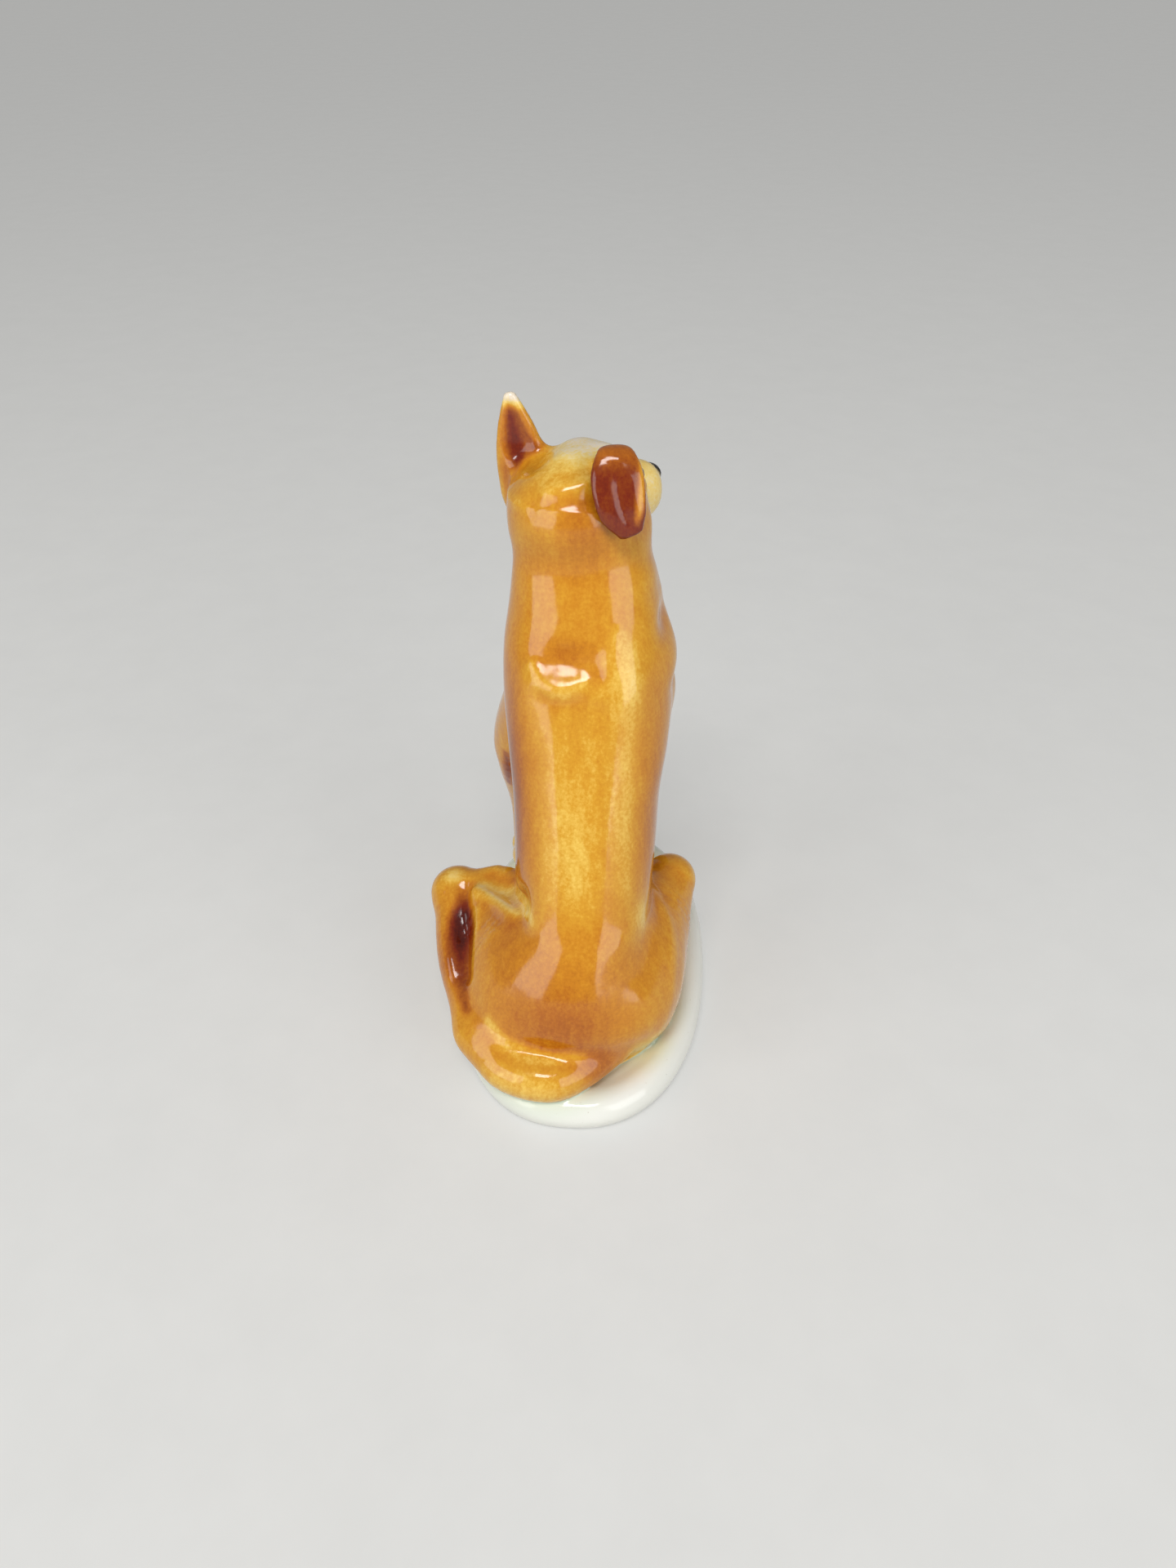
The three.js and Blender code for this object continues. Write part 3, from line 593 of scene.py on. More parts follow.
class Swell(Ellipsoid):
    """Soft change around a place, of the skin's height or of the glaze's tone"""

    def __init__(self, centre, radii, rise, basis=None):
        super().__init__(centre, radii, basis)
        self.rise = rise
        self.low = self.centre - 2.4 * self.radii.max()
        self.high = self.centre + 2.4 * self.radii.max()

    def lift(self, points):
        q = (points - self.centre) @ self.basis.T / self.radii
        return self.rise * np.exp(-dot(q, q))


RELIEF = [Crease(*row) for row in CREASES]
RELIEF += [Swell(*row) for row in BODY_SWELLS]
RELIEF += [Swell(on_head(*row[0]), row[1], row[2], HEAD_BASIS) for row in HEAD_SWELLS]


def ear_scoop():
    """Hollow of the upright ear, which is turned back and to the dog's left"""
    leaf = [
        (0.2, 0.5, -0.16, 0.8), (0.3, 0.78, -0.1, 0.35), (0.44, 0.92, -0.04, 0.06),
        (0.66, 0.76, 0.03, 0.0), (0.9, 0.36, 0.03, 0.0),
    ]
    stations = []
    for rise, wide, aside, behind in leaf:
        off = np.array([aside * EAR_HALF_WIDTH, (0.62 + behind) * EAR_THICKNESS, 0.0])
        place = EAR_BASE + EAR_LEAN * rise * EAR_HEIGHT + off
        stations.append((place, wide * EAR_HALF_WIDTH, EAR_THICKNESS * 0.52))
    return Sweep(stations)


SCOOP = ear_scoop()
VENT = Sweep([((-0.9, 15.3, height), VENT_RADIUS, VENT_RADIUS) for height in (-8, 0, 10, 24)])


def near(form, points, reach):
    return np.all((points > form.low - reach) & (points < form.high + reach), axis=1)


def form_distance(form, points):
    out = np.full(len(points), FAR)
    close = near(form, points, REACH)
    if close.any():
        out[close] = np.minimum(form.distance(points[close]), FAR)
    return out


def casting_fields(points):
    """Distance to each casting's own forms, one column for each casting"""
    columns = []
    for _, forms, _ in CASTINGS:
        field = form_distance(forms[0][0], points)
        for form, blend in forms[1:]:
            field = smooth_union(field, form_distance(form, points), blend)
        columns.append(field)
    ear = NAMES.index("ear_left_upright")
    columns[ear] = smooth_cut(columns[ear], form_distance(SCOOP, points), 0.7)
    return np.column_stack(columns)


def joined(points, fields):
    """Distance to the skin of the whole figure, from the distances to its castings"""
    lift = np.zeros(len(points))
    for feature in RELIEF:
        close = near(feature, points, 0.0)
        if close.any():
            lift[close] += feature.lift(points[close])
    whole = fields[:, 0]
    for column in range(1, len(CASTINGS) - 1):
        whole = smooth_union(whole, fields[:, column], CASTINGS[column][2])
    whole = smooth_union(whole - lift, fields[:, -1], SEAM_BLEND)
    whole = smooth_cut(whole, form_distance(VENT, points), 0.4)
    return np.maximum(whole, -points[:, 2])


def figure_field(points):
    return joined(points, casting_fields(points))


def owner_fields(points, fields):
    """Distances that decide which casting each place inside the figure belongs to"""
    fields = fields.copy()
    torso, head = NAMES.index("torso"), NAMES.index("head")
    body = np.minimum(fields[:, torso], fields[:, head])
    above = points[:, 2] - NECK_SEAM
    fields[:, torso] = np.where(above < 0, body, body + above)
    fields[:, head] = np.where(above > 0, body, body - above)
    fields[:, PLINTH_NUMBER - 1] -= 0.25
    fields[:, LEGS] += 0.8
    return fields


def gradient(field, points, step=0.25):
    out = np.empty_like(points)
    for axis in range(3):
        shift = np.zeros(3)
        shift[axis] = step
        out[:, axis] = (field(points + shift) - field(points - shift)) / (2 * step)
    return out


def labelled_grid():
    """On a grid around the figure: the field, and the casting that owns each place inside it

    Only the blocks that the skin or a wall between two castings may cross are worked out place
    by place.
    """
    low = np.array([-29.5, -47.5, -1.5])
    high = np.array([35.5, 47.5, 136.0])
    span = CELL * BLOCK
    blocks = np.ceil((high - low) / span).astype(int)
    field = np.full(blocks * BLOCK, FAR)
    label = np.zeros(blocks * BLOCK, np.int8)
    index = np.indices(blocks).reshape(3, -1).T
    middles = low + (index + 0.5) * span
    middle_fields = casting_fields(middles)
    middle = joined(middles, middle_fields)
    owners = owner_fields(middles, middle_fields)
    nearest, second = np.sort(owners, axis=1).T[:2]
    skin = np.abs(middle) < 1.25 * span
    wall = (middle < 0) & (second - nearest < 2.2 * span)
    column = owners.argmin(1) + 1
    for i in np.where(~skin & ~wall & (middle < 0))[0]:
        a, b, c = index[i] * BLOCK
        block = np.s_[a:a + BLOCK, b:b + BLOCK, c:c + BLOCK]
        field[block], label[block] = -FAR, column[i]
    inner = np.indices((BLOCK, BLOCK, BLOCK)).reshape(3, -1).T
    places = (index[skin | wall][:, None] * BLOCK + inner[None]).reshape(-1, 3)
    for part in np.array_split(places, max(1, len(places) // 200000)):
        points = low + part * CELL
        fields = casting_fields(points)
        whole = joined(points, fields)
        field[tuple(part.T)] = whole
        owner = owner_fields(points, fields).argmin(1) + 1
        label[tuple(part.T)] = np.where(whole < 0, owner, 0)
    return field, without_crumbs(settled(label)), low


def settled(label):
    """No brown casting keeps a layer of one place between the outside and another one"""
    for _ in range(2):
        for axis in range(3):
            before, after = np.roll(label, 1, axis), np.roll(label, -1, axis)
            for outer, inner in ((before, after), (after, before)):
                thin = (label > 0) & (outer == 0) & (inner > 0) & (inner != label)
                thin &= (label != PLINTH_NUMBER) & (inner != PLINTH_NUMBER)
                label = np.where(thin, inner, label)
    return label


def beside(values):
    """The highest value next to each place of a grid"""
    return np.max([np.roll(values, step, axis) for axis in range(3) for step in (-1, 1)], axis=0)


def cut_off(region, loose):
    """The places of a region that aren't joined to any of it outside the loose layers"""
    joined_up = region.copy()
    joined_up[:, :, loose] = False
    count = 0
    while joined_up.sum() > count:
        count = joined_up.sum()
        joined_up |= region & beside(joined_up)
    return region & ~joined_up


def without_crumbs(label):
    """Crumbs of the plinth go to the brown casting beside them, and shut-in air is filled"""
    base = label[:, :, :int(CRUMB_LAYER / CELL)].copy()
    crumbs = cut_off(base == PLINTH_NUMBER, slice(int(SOLID_LAYER / CELL), None))
    bubbles = cut_off(base == 0, slice(1, -1))
    for _ in range(3):
        brown = beside(np.where(base == PLINTH_NUMBER, 0, base))
        base = np.where(crumbs & (base == PLINTH_NUMBER) & (brown > 0), brown, base)
        base = np.where(bubbles & (base == 0), beside(base), base)
    label[:, :, :base.shape[2]] = base
    return label


def net_of(field, label, low):
    """Surface net: a corner in each cell where the owner changes, a face over each such edge

    Gives the corners, which of them lie on the skin, the lowest and highest owner around each,
    and the faces with the owners behind and ahead of them.
    """
    cells = [n - 1 for n in label.shape]
    total, count = np.zeros((2, *cells, 3)), np.zeros((2, *cells))  # of the skin and the walls
    lowest, highest = np.full(cells, 99, np.int8), np.zeros(cells, np.int8)

    def corner(values, offset):
        return values[tuple(slice(o, o + n) for o, n in zip(offset, cells))]

    for first in np.ndindex(2, 2, 2):
        here = corner(label, first)
        lowest = np.where((here > 0) & (here < lowest), here, lowest)
        highest = np.maximum(highest, here)
        for axis in range(3):
            if first[axis]:
                continue
            second = tuple(1 if k == axis else first[k] for k in range(3))
            there = corner(label, second)
            f0, f1 = corner(field, first), corner(field, second)
            on_skin = (here == 0) != (there == 0)
            on_wall = (here != there) & ~on_skin
            share = np.where(on_skin, f0 / np.where(on_skin, f0 - f1, 1.0), 0.5)
            for kind, crossed in enumerate((on_skin, on_wall)):
                count[kind] += crossed
                for k in range(3):
                    total[kind, ..., k] += crossed * (first[k] + share * (k == axis))
    used = count.sum(0) > 0
    number = np.full(cells, -1)
    number[used] = np.arange(used.sum())
    skin = count[0][used] > 0
    total = np.where(skin[:, None], total[0][used], total[1][used])
    count = np.where(skin, count[0][used], count[1][used])
    points = low + (np.argwhere(used) + total / count[:, None]) * CELL
    faces, sides = [], []
    for axis in range(3):
        u, v = (axis + 1) % 3, (axis + 2) % 3
        pairs = np.stack([np.delete(label, -1, axis), np.delete(label, 0, axis)], -1)
        where = np.argwhere(pairs[..., 0] != pairs[..., 1])
        around = where[:, [u, v]]
        where = where[np.all((around > 0) & (around < (cells[u], cells[v])), axis=1)]
        moves = np.array([(-1, -1), (0, -1), (0, 0), (-1, 0)]) @ np.eye(3, dtype=int)[[u, v]]
        faces.append(np.stack([number[tuple((where + move).T)] for move in moves], 1))
        sides.append(pairs[tuple(where.T)])
    owners = np.column_stack([lowest[used], highest[used]])
    return points, skin, owners, np.concatenate(faces), np.concatenate(sides)


def step_to_zero(values, slope, least, longest):
    """Steps along a field's slope to where it is zero, none of them longer than the longest"""
    steep = np.maximum(dot(slope, slope), least)
    step = (values / steep)[:, None] * slope
    length = np.linalg.norm(step, axis=1, keepdims=True)
    return step * np.minimum(1.0, longest / np.maximum(length, 1e-9))


def onto_skin(points, rounds=3):
    for _ in range(rounds):
        slope = gradient(figure_field, points)
        points = points - step_to_zero(figure_field(points), slope, 0.1, 0.5 * CELL)
    return points


def inside_skin(points):
    """Wall corners that lie close under the skin are moved further in"""
    field = figure_field(points)
    close = field > -0.5 * CELL
    inward = unit(gradient(figure_field, points[close]))
    points[close] -= (field[close] + 0.5 * CELL)[:, None] * inward
    return points


def onto_seam(points, owners):
    """Corners moved along the skin to where their two owners are equally near"""
    rows = np.arange(len(points))

    def difference(places):
        fields = owner_fields(places, casting_fields(places))
        return fields[rows, owners[:, 0] - 1] - fields[rows, owners[:, 1] - 1]

    moved = points
    for _ in range(3):
        normal = unit(gradient(figure_field, moved))
        slope = gradient(difference, moved)
        slope -= dot(slope, normal)[:, None] * normal
        moved = moved - step_to_zero(difference(moved), slope, 0.05, 0.25 * CELL)
    return onto_skin(moved, 2)


def sunk_walls(points, normals, skin, faces, sides):
    """Walls with most of their corners on the skin are cut into triangles, so none lies in it

    Gives all corners, and the faces of four and of three corners with their owners.
    """
    corners = skin[faces].sum(1)
    wall = sides.min(1) > 0
    three, four = wall & (corners == 3), wall & (corners == 4)
    inner = (~skin[faces[three]]).argmax(1)
    turned = np.take_along_axis(faces[three], (inner[:, None] + np.arange(4)) % 4, 1)
    rings = faces[four]
    middles = points[rings].mean(1) - 0.5 * CELL * unit(normals[rings].sum(1))
    number = len(points) + np.arange(len(rings))
    triangles = [turned[:, [0, 1, 2]], turned[:, [0, 2, 3]]]
    triangles += [np.column_stack([number, rings[:, k], rings[:, (k + 1) % 4]]) for k in range(4)]
    triangle_sides = [sides[three]] * 2 + [sides[four]] * 4
    plain = ~three & ~four
    shapes = [(faces[plain], sides[plain])]
    shapes.append((np.concatenate(triangles), np.concatenate(triangle_sides)))
    return np.concatenate([points, middles]), shapes


def sculpture():
    points, skin, owners, faces, sides = net_of(*labelled_grid())
    points[skin] = onto_skin(points[skin])
    points[~skin] = inside_skin(points[~skin])
    white_seam = skin & (owners[:, 0] != owners[:, 1]) & (owners[:, 1] == PLINTH_NUMBER)
    points[white_seam] = onto_seam(points[white_seam], owners[white_seam])
    normals = np.zeros_like(points)
    normals[skin] = unit(gradient(figure_field, points[skin]))
    added, shapes = sunk_walls(points, normals, skin, faces, sides)
    extra = (0, len(added) - len(points))
    return added, np.pad(skin, extra), np.pad(normals, (extra, (0, 0))), shapes


# Tone of the brown glaze: 0 is the darkest, 1 the bare cream
# Where it is thicker or thinner, and where shade, highlights and reflections are painted: place,
# radii, and the change of tone
BODY_TONES = [
    ((-0.5, 17, 72), (4.5, 16, 24), 0.1),  # pale stripe down the spine
    ((-0.8, 25, 54), (5, 14, 12), 0.1),
    ((2, 38, 24), (12, 9, 9), -0.18),  # thick glaze on the rump
    ((3, 30, 36), (16, 9, 10), -0.06),
    ((2, 8, 95.5), (5.5, 6, 2.6), -0.1),  # painted shade of the neck, above the dimple of the withers
    ((14, 15, 62), (3.6, 14, 26), -0.38),  # flanks
    ((-16, 14, 58), (3.5, 12, 22), -0.12),
    ((-11, 16, 66), (2.6, 12, 20), 0.07),
    ((-9.5, 7, 91), (4.5, 6, 8), 0.06),  # right shoulder blade: paler, a painted reflection of the light on it
    ((9, 23, 41), (4, 5, 4), 0.08),  # where the waist meets the thighs
    ((-14, 20, 40), (3, 5, 5), 0.2),
    ((-1, -24, 88), (8, 8, 14), 0.16),  # chest
    ((-6.5, 39, 12), (4, 5, 5), -0.18),  # root of the tail, and its back
    ((9, 44, 12), (11, 6, 6), 0.09),
    ((28.5, 1, 29), (4, 5, 4), -0.08),  # knees
    # painted highlight on the top of the left knee
    ((28.6, 3, 32), (2.6, 3, 1.5), 0.24),
    ((-19.5, -4, 31), (4, 4, 3), -0.06),
    ((28.6, 18, 22.6), (3, 12, 8), -0.2),  # left shank
    ((-0.9, 1.5, 117.5), (4.2, 5, 6.5), -0.17),  # nape
    ((-14.5, -1, 108), (4, 8, 12), 0.06),  # right side of the neck
]

# Darker and paler lines: the change of tone, then stations of a place and a half width
BODY_LINES = [
    (-0.26, [  # hollow between the left shank and thigh
        (25.8, 8.5, 29.4, 0.5), (25.8, 11.5, 28, 2), (25.6, 16, 25.8, 2.1), (25, 20, 23.4, 0.5),
    ]),
    (-0.24, [
        (26.4, 7.5, 29.8, 0.9), (26.4, 12, 27.6, 2.9), (26, 17, 25.2, 2.9), (25, 23, 21.8, 2.4),
        (23, 29.5, 18.8, 1.1),
    ]),
    (-0.4, [  # hollow behind the left foreleg: thicker glaze, and painted shade
        (17.4, -10.6, 57, 0.5), (17.6, -12.4, 51.4, 1.2), (18.2, -15.5, 45, 1),
    ]),
    (0.32, [  # painted highlight along the lit valley over the left thigh
        (21.4, 5.6, 33.2, 1.6), (16, 9.6, 34.6, 3), (12.4, 16, 37.6, 3), (10, 21, 40.4, 1.4),
    ]),
    # painted highlight, going on from the valley towards the waist
    (0.14, [(12.6, 15.6, 45, 0.4), (10.4, 20.6, 43, 1.4), (8.4, 24.6, 41, 1.2)]),
    (0.2, [  # between the rump and the tail
        (17.6, 34, 20, 1.2), (12.5, 37.6, 17, 1.7), (5.1, 39.8, 16.2, 1.6), (-2.5, 38.7, 16.2, 1),
    ]),
    (0.04, [  # painted reflection of the light: a pale band left of the spine
        (9.3, 7.7, 90, 1.4), (7, 11.7, 82.5, 2.2), (5.1, 15, 74.2, 2.2), (4.4, 18.4, 65.6, 2.4),
        (4.8, 21.9, 56.3, 2.4), (5.2, 25.7, 47, 1.6),
    ]),
    (0.06, [  # painted reflection of the light: a pale band right of the spine
        (-9.4, 4.8, 96.5, 1.6), (-10.2, 9.4, 89.3, 3), (-9.1, 12.6, 81.2, 3),
        (-8.5, 15.4, 72.4, 2.7), (-8.7, 17.5, 65.5, 2.5), (-9.6, 20.6, 54.8, 2.3),
        (-10.4, 22.8, 46.9, 1.5),
    ]),
]
EAR_LINES = [
    (-0.2, [  # down the hollow of the upright ear
        (13.9, -17.6, 132, 0.2), (13.6, -17.7, 129, 0.6), (13.2, -17.7, 125.8, 1),
        (12.6, -16.9, 123, 1.2), (12.5, -15.3, 121, 0.5),
    ]),
    (0.5, [  # outer edge of the folded ear
        (-11, -3.2, 128.6, 0.3), (-11.4, -1.2, 126.2, 0.7), (-11.4, 0.4, 123.2, 0.8),
        (-11.2, 1.5, 120.4, 0.6), (-10.8, 2.2, 118.6, 0.3),
    ]),
]

# Painting of the head and the feet
CROWN_PLACE, CROWN_RADII, CROWN_CHANGE = (0, 3, 10), (9, 9, 5), 0.38
MUZZLE_START = 12.5  # forward of the skull's centre, where the cream muzzle begins
EAR_TIP_SHARE = 0.8
BODY_TONE = 0.57
MUZZLE_TONE = 0.85
UPRIGHT_EAR_TONE = 0.42
EAR_TIP_TONE = 0.99
FOLDED_EAR_TONE = 0.17
LIP_TONE = 0.86  # where the brown glaze ends on the plinth
FOOT_CHANGE = 0.16


def smooth_step(low, high, values):
    t = np.clip((values - low) / (high - low), 0.0, 1.0)
    return t * t * (3.0 - 2.0 * t)


def along_line(points, line, soft):
    """1 along a painted line of places and half widths, falling to 0 over its soft edge"""
    form = Sweep([((x, y, z), wide, wide) for x, y, z, wide in line], Z_AXIS)
    return smooth_step(soft, -soft, form.distance(points))


def bend_of(points, normals, span=2.0):
    """How far the skin bends away around each point: above zero on ridges, below in creases"""
    first = unit(np.cross(normals, Z_AXIS + 0.01 * X_AXIS))
    second = np.cross(normals, first)
    around = [figure_field(points + span * way) for way in (first, -first, second, -second)]
    return sum(around) / len(around) / span


def painting(points, normals):
    """Tone of the glaze, with painted shade, highlights and reflections in it, and where the black
    is painted, at every corner of the skin
    """
    bend = bend_of(points, normals)
    tone = BODY_TONE + np.clip(bend * 0.6, -0.06, 0.1)
    for row in BODY_TONES:
        tone += Swell(*row).lift(points)
    for change, line in BODY_LINES:
        tone += change * along_line(points, line, 1.3)
    tone += Swell(on_head(*CROWN_PLACE), CROWN_RADII, CROWN_CHANGE, HEAD_BASIS).lift(points)

    left, forward, up = ((points - SKULL_CENTRE) @ HEAD_BASIS.T).T
    fields = casting_fields(points)
    own = dict(zip(NAMES, fields.T))
    on_the_head = smooth_step(-1.5, 1.5, fields.min(1) + 1.5 - own["head"])
    muzzle = smooth_step(MUZZLE_START, MUZZLE_START + 5.0, forward - 0.35 * up) * on_the_head
    tone = mix(tone, MUZZLE_TONE + 0.03 * np.sin(left), muzzle)

    upright = smooth_step(1.2, 0.1, own["ear_left_upright"])
    rise = (points[:, 2] - EAR_BASE[2]) / EAR_HEIGHT
    scooped = smooth_step(0.9, 0.0, SCOOP.distance(points))
    ear_tone = UPRIGHT_EAR_TONE - 0.12 * scooped + np.clip(bend, 0.0, 0.2)
    ear_tone = mix(ear_tone, EAR_TIP_TONE, smooth_step(EAR_TIP_SHARE, 1.0, rise))
    tone = mix(tone, ear_tone, upright * smooth_step(-0.1, 0.2, rise))
    folded = smooth_step(1.4, 0.3, own["ear_right_folded"])
    fold = smooth_step(126.0, 130.0, points[:, 2])
    tone = mix(tone, FOLDED_EAR_TONE + 0.2 * fold, folded)
    for change, line in EAR_LINES:
        tone += change * along_line(points, line, 0.8)

    for name in NAMES[LEGS]:
        low_leg = smooth_step(0.8, -0.4, own[name])
        tone += FOOT_CHANGE * low_leg * smooth_step(SEAT + 9.0, SEAT + 3.0, points[:, 2])

    lip = smooth_step(0.9, 0.3, own["plinth"])
    tone = mix(tone, LIP_TONE, 0.8 * lip)
    black = smooth_step(0.45, 0.15, NOSE.distance(points))
    for eye, side in zip(EYES, (1, -1)):
        black = np.maximum(black, smooth_step(0.35, 0.05, eye.distance(points)))
        lips = Sweep([(p, 0.3, 0.3) for p in mouth_points(side)], Z_AXIS)
        black = np.maximum(black, 0.85 * smooth_step(0.5, 0.1, lips.distance(points)))
    pooled_and_bounce_offset = smooth_step(6.0, 0.5, fields[:, :-1].min(1))  # on the plinth, close to the dog: pooled glaze, and a tint painted to offset the reddish light bounced from the dog
    return {"tone": np.clip(tone, 0.0, 1.0), "black": black, "bend": bend, "pooled_and_bounce_offset": pooled_and_bounce_offset}


def placed(name, data):
    thing = bpy.data.objects.new(name, data)
    bpy.context.scene.collection.objects.link(thing)
    return thing


def closed_piece(name, number):
    """One casting as a closed mesh: its share of the skin, and the walls to its neighbours"""
    own = []
    for faces, sides in net_shapes:
        own += [faces[sides[:, 0] == number], faces[sides[:, 1] == number][:, ::-1]]
    used = np.unique(np.concatenate([faces.ravel() for faces in own]))
    local = np.zeros(len(net_points), int)
    local[used] = np.arange(len(used))
    faces = [face for shape in own for face in local[shape].tolist()]
    mesh = bpy.data.meshes.new(name)
    mesh.from_pydata((net_points[used] * MM).tolist(), [], faces)
    for key, values in paint_layers.items():
        layer = mesh.attributes.new(key, "FLOAT", "POINT")
        layer.data.foreach_set("value", values[used].astype(np.float32))
    mesh.shade_smooth()
    mesh.normals_split_custom_set_from_vertices(net_normals[used].tolist())
    return placed(name, mesh)


def linear(hex_colour):
    channels = [int(hex_colour[k:k + 2], 16) / 255 for k in (0, 2, 4)]
    return [c / 12.92 if c < 0.04045 else ((c + 0.055) / 1.055)**2.4 for c in channels] + [1.0]


class Nodes:
    """Small helper that adds shader nodes and links them"""

    def __init__(self, tree):
        self.tree = tree
        tree.nodes.clear()

    def add(self, kind, inputs=None, **settings):
        node = self.tree.nodes.new(kind)
        for key, value in settings.items():
            setattr(node, key, value)
        for key, value in (inputs or {}).items():
            if isinstance(value, bpy.types.NodeSocket):
                self.tree.links.new(value, node.inputs[key])
            else:
                node.inputs[key].default_value = value
        return node

    def attribute(self, name):
        return self.add("ShaderNodeAttribute", attribute_name=name).outputs["Fac"]

    def math(self, operation, a, b=0.0):
        return self.add("ShaderNodeMath", {0: a, 1: b}, operation=operation).outputs[0]

    def noise(self, scale, detail=3.0, stretch=(1.0, 1.0, 1.0)):
        place = self.add("ShaderNodeTexCoord").outputs["Object"]
        place = self.add("ShaderNodeMapping", {"Vector": place, "Scale": stretch}).outputs[0]
        inputs = {"Vector": place, "Scale": scale, "Detail": detail, "Roughness": 0.6}
        return self.add("ShaderNodeTexNoise", inputs).outputs["Fac"]

    def ramp(self, value, stops):
        node = self.add("ShaderNodeValToRGB", {"Fac": value})
        ramp = node.color_ramp
        ramp.elements.remove(ramp.elements[1])
        for k, (position, colour) in enumerate(stops):
            element = ramp.elements.new(position) if k else ramp.elements[0]
            element.position, element.color = position, linear(colour)
        return node.outputs["Color"]

    def mix(self, factor, a, b, blend="MIX"):
        inputs = {0: factor, 6: a, 7: b}
        return self.add("ShaderNodeMix", inputs, data_type="RGBA", blend_type=blend).outputs[2]

    def uneven(self, value, noise, change):
        """A value with the share of a noise around its middle added"""
        shift = self.math("MULTIPLY", self.math("SUBTRACT", noise, 0.5), change)
        return self.math("ADD", value, shift)

    def output(self, shader, kind="ShaderNodeOutputMaterial"):
        self.add(kind, {0: shader.outputs[0]})

    def glaze(self, colour, roughness, bump, bump_distance):
        """Clear glossy coat over a coloured body"""
        bumped = self.add("ShaderNodeBump", {"Height": bump, "Distance": bump_distance}).outputs[0]
        shader = self.add("ShaderNodeBsdfPrincipled", {
            "Base Color": colour, "Roughness": roughness, "IOR": 1.5, "Specular IOR Level": 0.0,
            "Coat Weight": 1.0, "Coat Roughness": 0.12,
            "Normal": bumped, "Coat Normal": bumped,
        })
        self.output(shader)


# Colours of the brown glaze by its tone
BROWN_STOPS = [
    (0.0, "520E01"), (0.15, "7C2402"), (0.25, "8E3E04"), (0.42, "B96812"), (0.55, "D2881C"),
    (0.66, "E0A22C"), (0.76, "F2C658"), (0.88, "FADD88"), (1.0, "F6E8D2"),
]
BLACK = "120D0C"  # of the eyes, nose and mouth
WHITE_STOPS = [(0.0, "F5F5EC"), (0.45, "EEF0E4"), (1.0, "D6DECB")]  # from ridges to creases
POOLED_AND_BOUNCE_OFFSET_WHITE = "EEF6EE"  # tint where the white glaze has run up against the dog, also painted to offset the reddish light bounced from the dog
DUST_STOPS = [(0.74, "FFFFFF"), (0.82, "B8AA90")]

# Scales of the noises, in waves to a metre
SPECK_SCALE = 1500.0  # specks of stain of about half a millimetre
MOTTLE_SCALE = 330.0
STROKE_SCALE = 620.0
DUST_SCALE = 1900.0
POOL_SCALE = 120.0
SHEEN_SCALE = 200.0
WAVE_SCALE = 190.0  # slow waves of the glaze
WAVE_HEIGHT = 0.00009


def new_material(name):
    material = bpy.data.materials.new(name)
    material.use_nodes = True
    return material, Nodes(material.node_tree)


def brown_glaze():
    material, nodes = new_material("brown_glaze")
    mottle = nodes.noise(MOTTLE_SCALE, 4.0)
    strokes = nodes.noise(STROKE_SCALE, 3.0, (1.0, 1.0, 0.16))
    specks = nodes.noise(SPECK_SCALE, 2.0)
    tone = nodes.attribute("tone")
    for noise, change in ((mottle, 0.05), (strokes, 0.18), (specks, 0.2)):
        tone = nodes.uneven(tone, noise, change)
    colour = nodes.ramp(tone, BROWN_STOPS)
    colour = nodes.mix(nodes.attribute("black"), colour, linear(BLACK))
    roughness = nodes.uneven(0.25, mottle, 0.1)
    nodes.glaze(colour, roughness, nodes.noise(WAVE_SCALE, 2.0, (1.0, 1.0, 0.6)), WAVE_HEIGHT)
    return material


def white_glaze():
    material, nodes = new_material("white_glaze")
    crease = nodes.math("MULTIPLY", nodes.attribute("bend"), -3.0)
    crease = nodes.uneven(crease, nodes.noise(POOL_SCALE), 0.7)
    colour = nodes.ramp(crease, WHITE_STOPS)
    # greenish tint beside the dog: pooled glaze, and painted to offset the reddish light bounced
    # from the dog
    tint = nodes.mix(nodes.attribute("pooled_and_bounce_offset"), linear("FFFFFF"), linear(POOLED_AND_BOUNCE_OFFSET_WHITE))
    colour = nodes.mix(1.0, colour, tint, "MULTIPLY")
    dust = nodes.ramp(nodes.noise(DUST_SCALE, 1.0), DUST_STOPS)
    colour = nodes.mix(0.6, colour, dust, "MULTIPLY")
    roughness = nodes.uneven(0.2, nodes.noise(SHEEN_SCALE), 0.08)
    nodes.glaze(colour, roughness, nodes.noise(WAVE_SCALE, 2.0), WAVE_HEIGHT)
    return material


# The castings, each as a closed piece
materials = {"brown_glaze": brown_glaze(), "white_glaze": white_glaze()}
net_points, on_skin, net_normals, net_shapes = sculpture()
paint_layers = {}
for key, values in painting(net_points[on_skin], net_normals[on_skin]).items():
    paint_layers[key] = np.zeros(len(net_points))
    paint_layers[key][on_skin] = values
for number, casting in enumerate(NAMES, 1):
    piece = closed_piece("glazed_" + casting, number)
    slot = "white_glaze" if casting == "plinth" else "brown_glaze"
    piece.data.materials.append(materials[slot])
    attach(piece, "root")
    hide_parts(casting)


# Studio: pale floor, two large soft lights beside the camera, and a smaller one overhead
FLOOR_GLOW = 0.32  # share of white that the floor shows by itself
FLOOR_COLOUR = "B8B8B6"  # lights the figure
FLOOR_STOPS = [(0.3, "B4B4B1"), (0.7, "B8B8B5")]  # is seen
FLOOR_HALF_WIDTH = 3.0
FLOOR_SCALE = 60.0  # of its faint noise
SKY_COLOUR = "6E6E6E"  # lights the figure
SKY_SEEN = "9C9C9A"


def seen(nodes):
    """1 where a surface is seen, also in the glaze, and 0 where it only lights"""
    rays = nodes.add("ShaderNodeLightPath").outputs
    return nodes.math("MAXIMUM", rays["Is Camera Ray"], rays["Is Glossy Ray"])


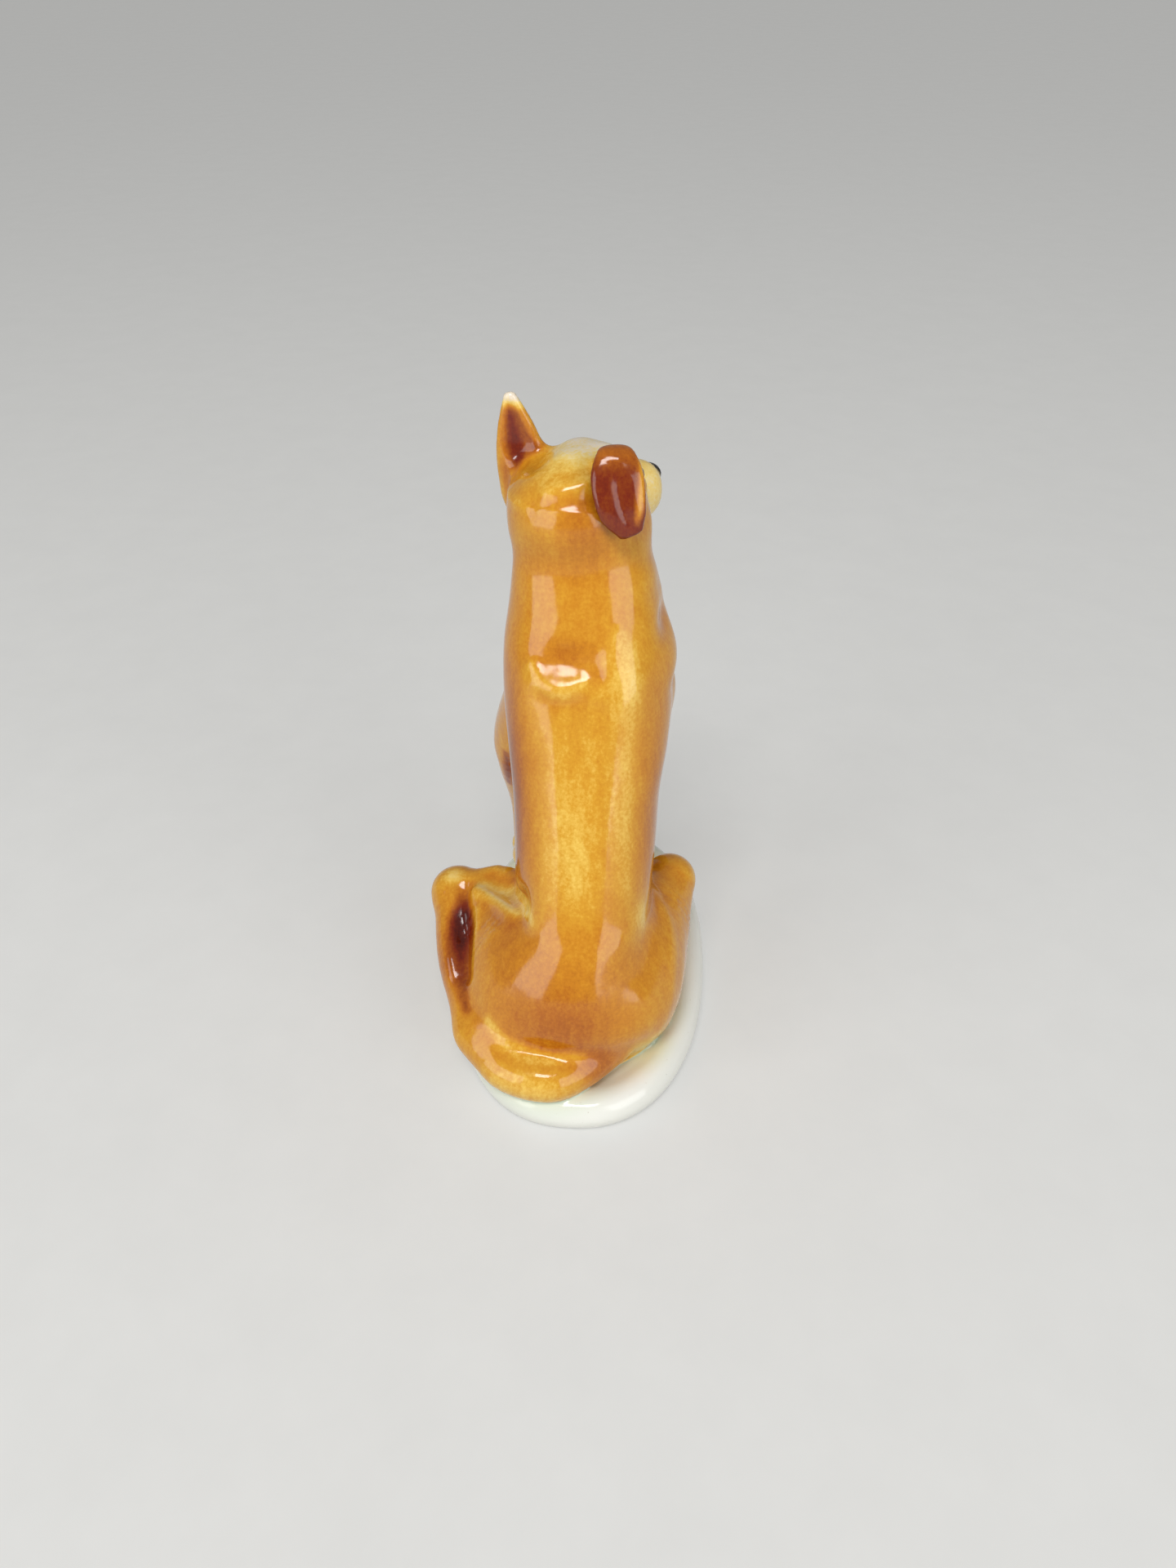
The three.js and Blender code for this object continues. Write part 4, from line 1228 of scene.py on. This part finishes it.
def plain_floor():
    mesh = bpy.data.meshes.new("floor")
    half = FLOOR_HALF_WIDTH
    corners = [(x * half, y * half, 0.0) for x, y in ((-1, -1), (1, -1), (1, 1), (-1, 1))]
    mesh.from_pydata(corners, [], [(0, 1, 2, 3)])
    floor = placed("floor", mesh)
    material, nodes = new_material("floor")
    pale = nodes.ramp(nodes.noise(FLOOR_SCALE), FLOOR_STOPS)
    shown = seen(nodes)
    nodes.output(nodes.add("ShaderNodeBsdfPrincipled", {
        "Base Color": nodes.mix(shown, linear(FLOOR_COLOUR), pale), "Roughness": 0.8,
        "Emission Color": linear("FFFFFD"),
        "Emission Strength": nodes.math("MULTIPLY", shown, FLOOR_GLOW),
    }))
    mesh.materials.append(material)


def pale_world():
    world = bpy.data.worlds.new("world")
    bpy.context.scene.world = world
    world.use_nodes = True
    nodes = Nodes(world.node_tree)
    sky = nodes.mix(seen(nodes), linear(SKY_COLOUR), linear(SKY_SEEN))
    background = nodes.add("ShaderNodeBackground", {"Color": sky})
    nodes.output(background, "ShaderNodeOutputWorld")


def soft_light(name, place, width, height, power):
    """Area light at a place in metres, turned to the figure's middle"""
    data = bpy.data.lights.new(name, "AREA")
    data.shape = "RECTANGLE"
    data.size, data.size_y, data.energy = width, height, power
    light = placed(name, data)
    target = Vector((0.0, 0.0, 0.06))
    light.location = place
    light.rotation_euler = (target - Vector(place)).to_track_quat("-Z", "Y").to_euler()


# Camera: fitted to the turntable's ellipse in the photo
CAMERA_PLACE = (-0.01761, 0.19326, 0.21301)
CAMERA_RIGHT = (-0.9971, -0.0763, -0.0095)
CAMERA_UP = (0.0403, -0.6240, 0.7804)
CAMERA_BACK = (-0.0655, 0.7777, 0.6252)
FOCAL_PIXELS = 1442.0
FRAME_HEIGHT_PIXELS = 1920.0
SENSOR_MM = 36.0


def camera_at_the_photo():
    data = bpy.data.cameras.new("camera")
    data.sensor_width = SENSOR_MM
    data.lens = SENSOR_MM * FOCAL_PIXELS / FRAME_HEIGHT_PIXELS
    data.clip_start = 0.01
    camera = placed("camera", data)
    turn = Matrix([CAMERA_RIGHT, CAMERA_UP, CAMERA_BACK]).transposed()
    camera.matrix_world = Matrix.LocRotScale(CAMERA_PLACE, turn.to_quaternion(), None)
    bpy.context.scene.camera = camera


plain_floor()
soft_light("left_softbox", (0.57, 0.49, 0.3), 0.55, 0.6, 2.65)
soft_light("right_softbox", (-0.57, 0.49, 0.3), 0.55, 0.6, 2.65)
soft_light("top_softbox", (0.03, 0.45, 0.85), 0.4, 0.2, 3.5)
pale_world()
bpy.context.scene.view_settings.view_transform = "Standard"
camera_at_the_photo()
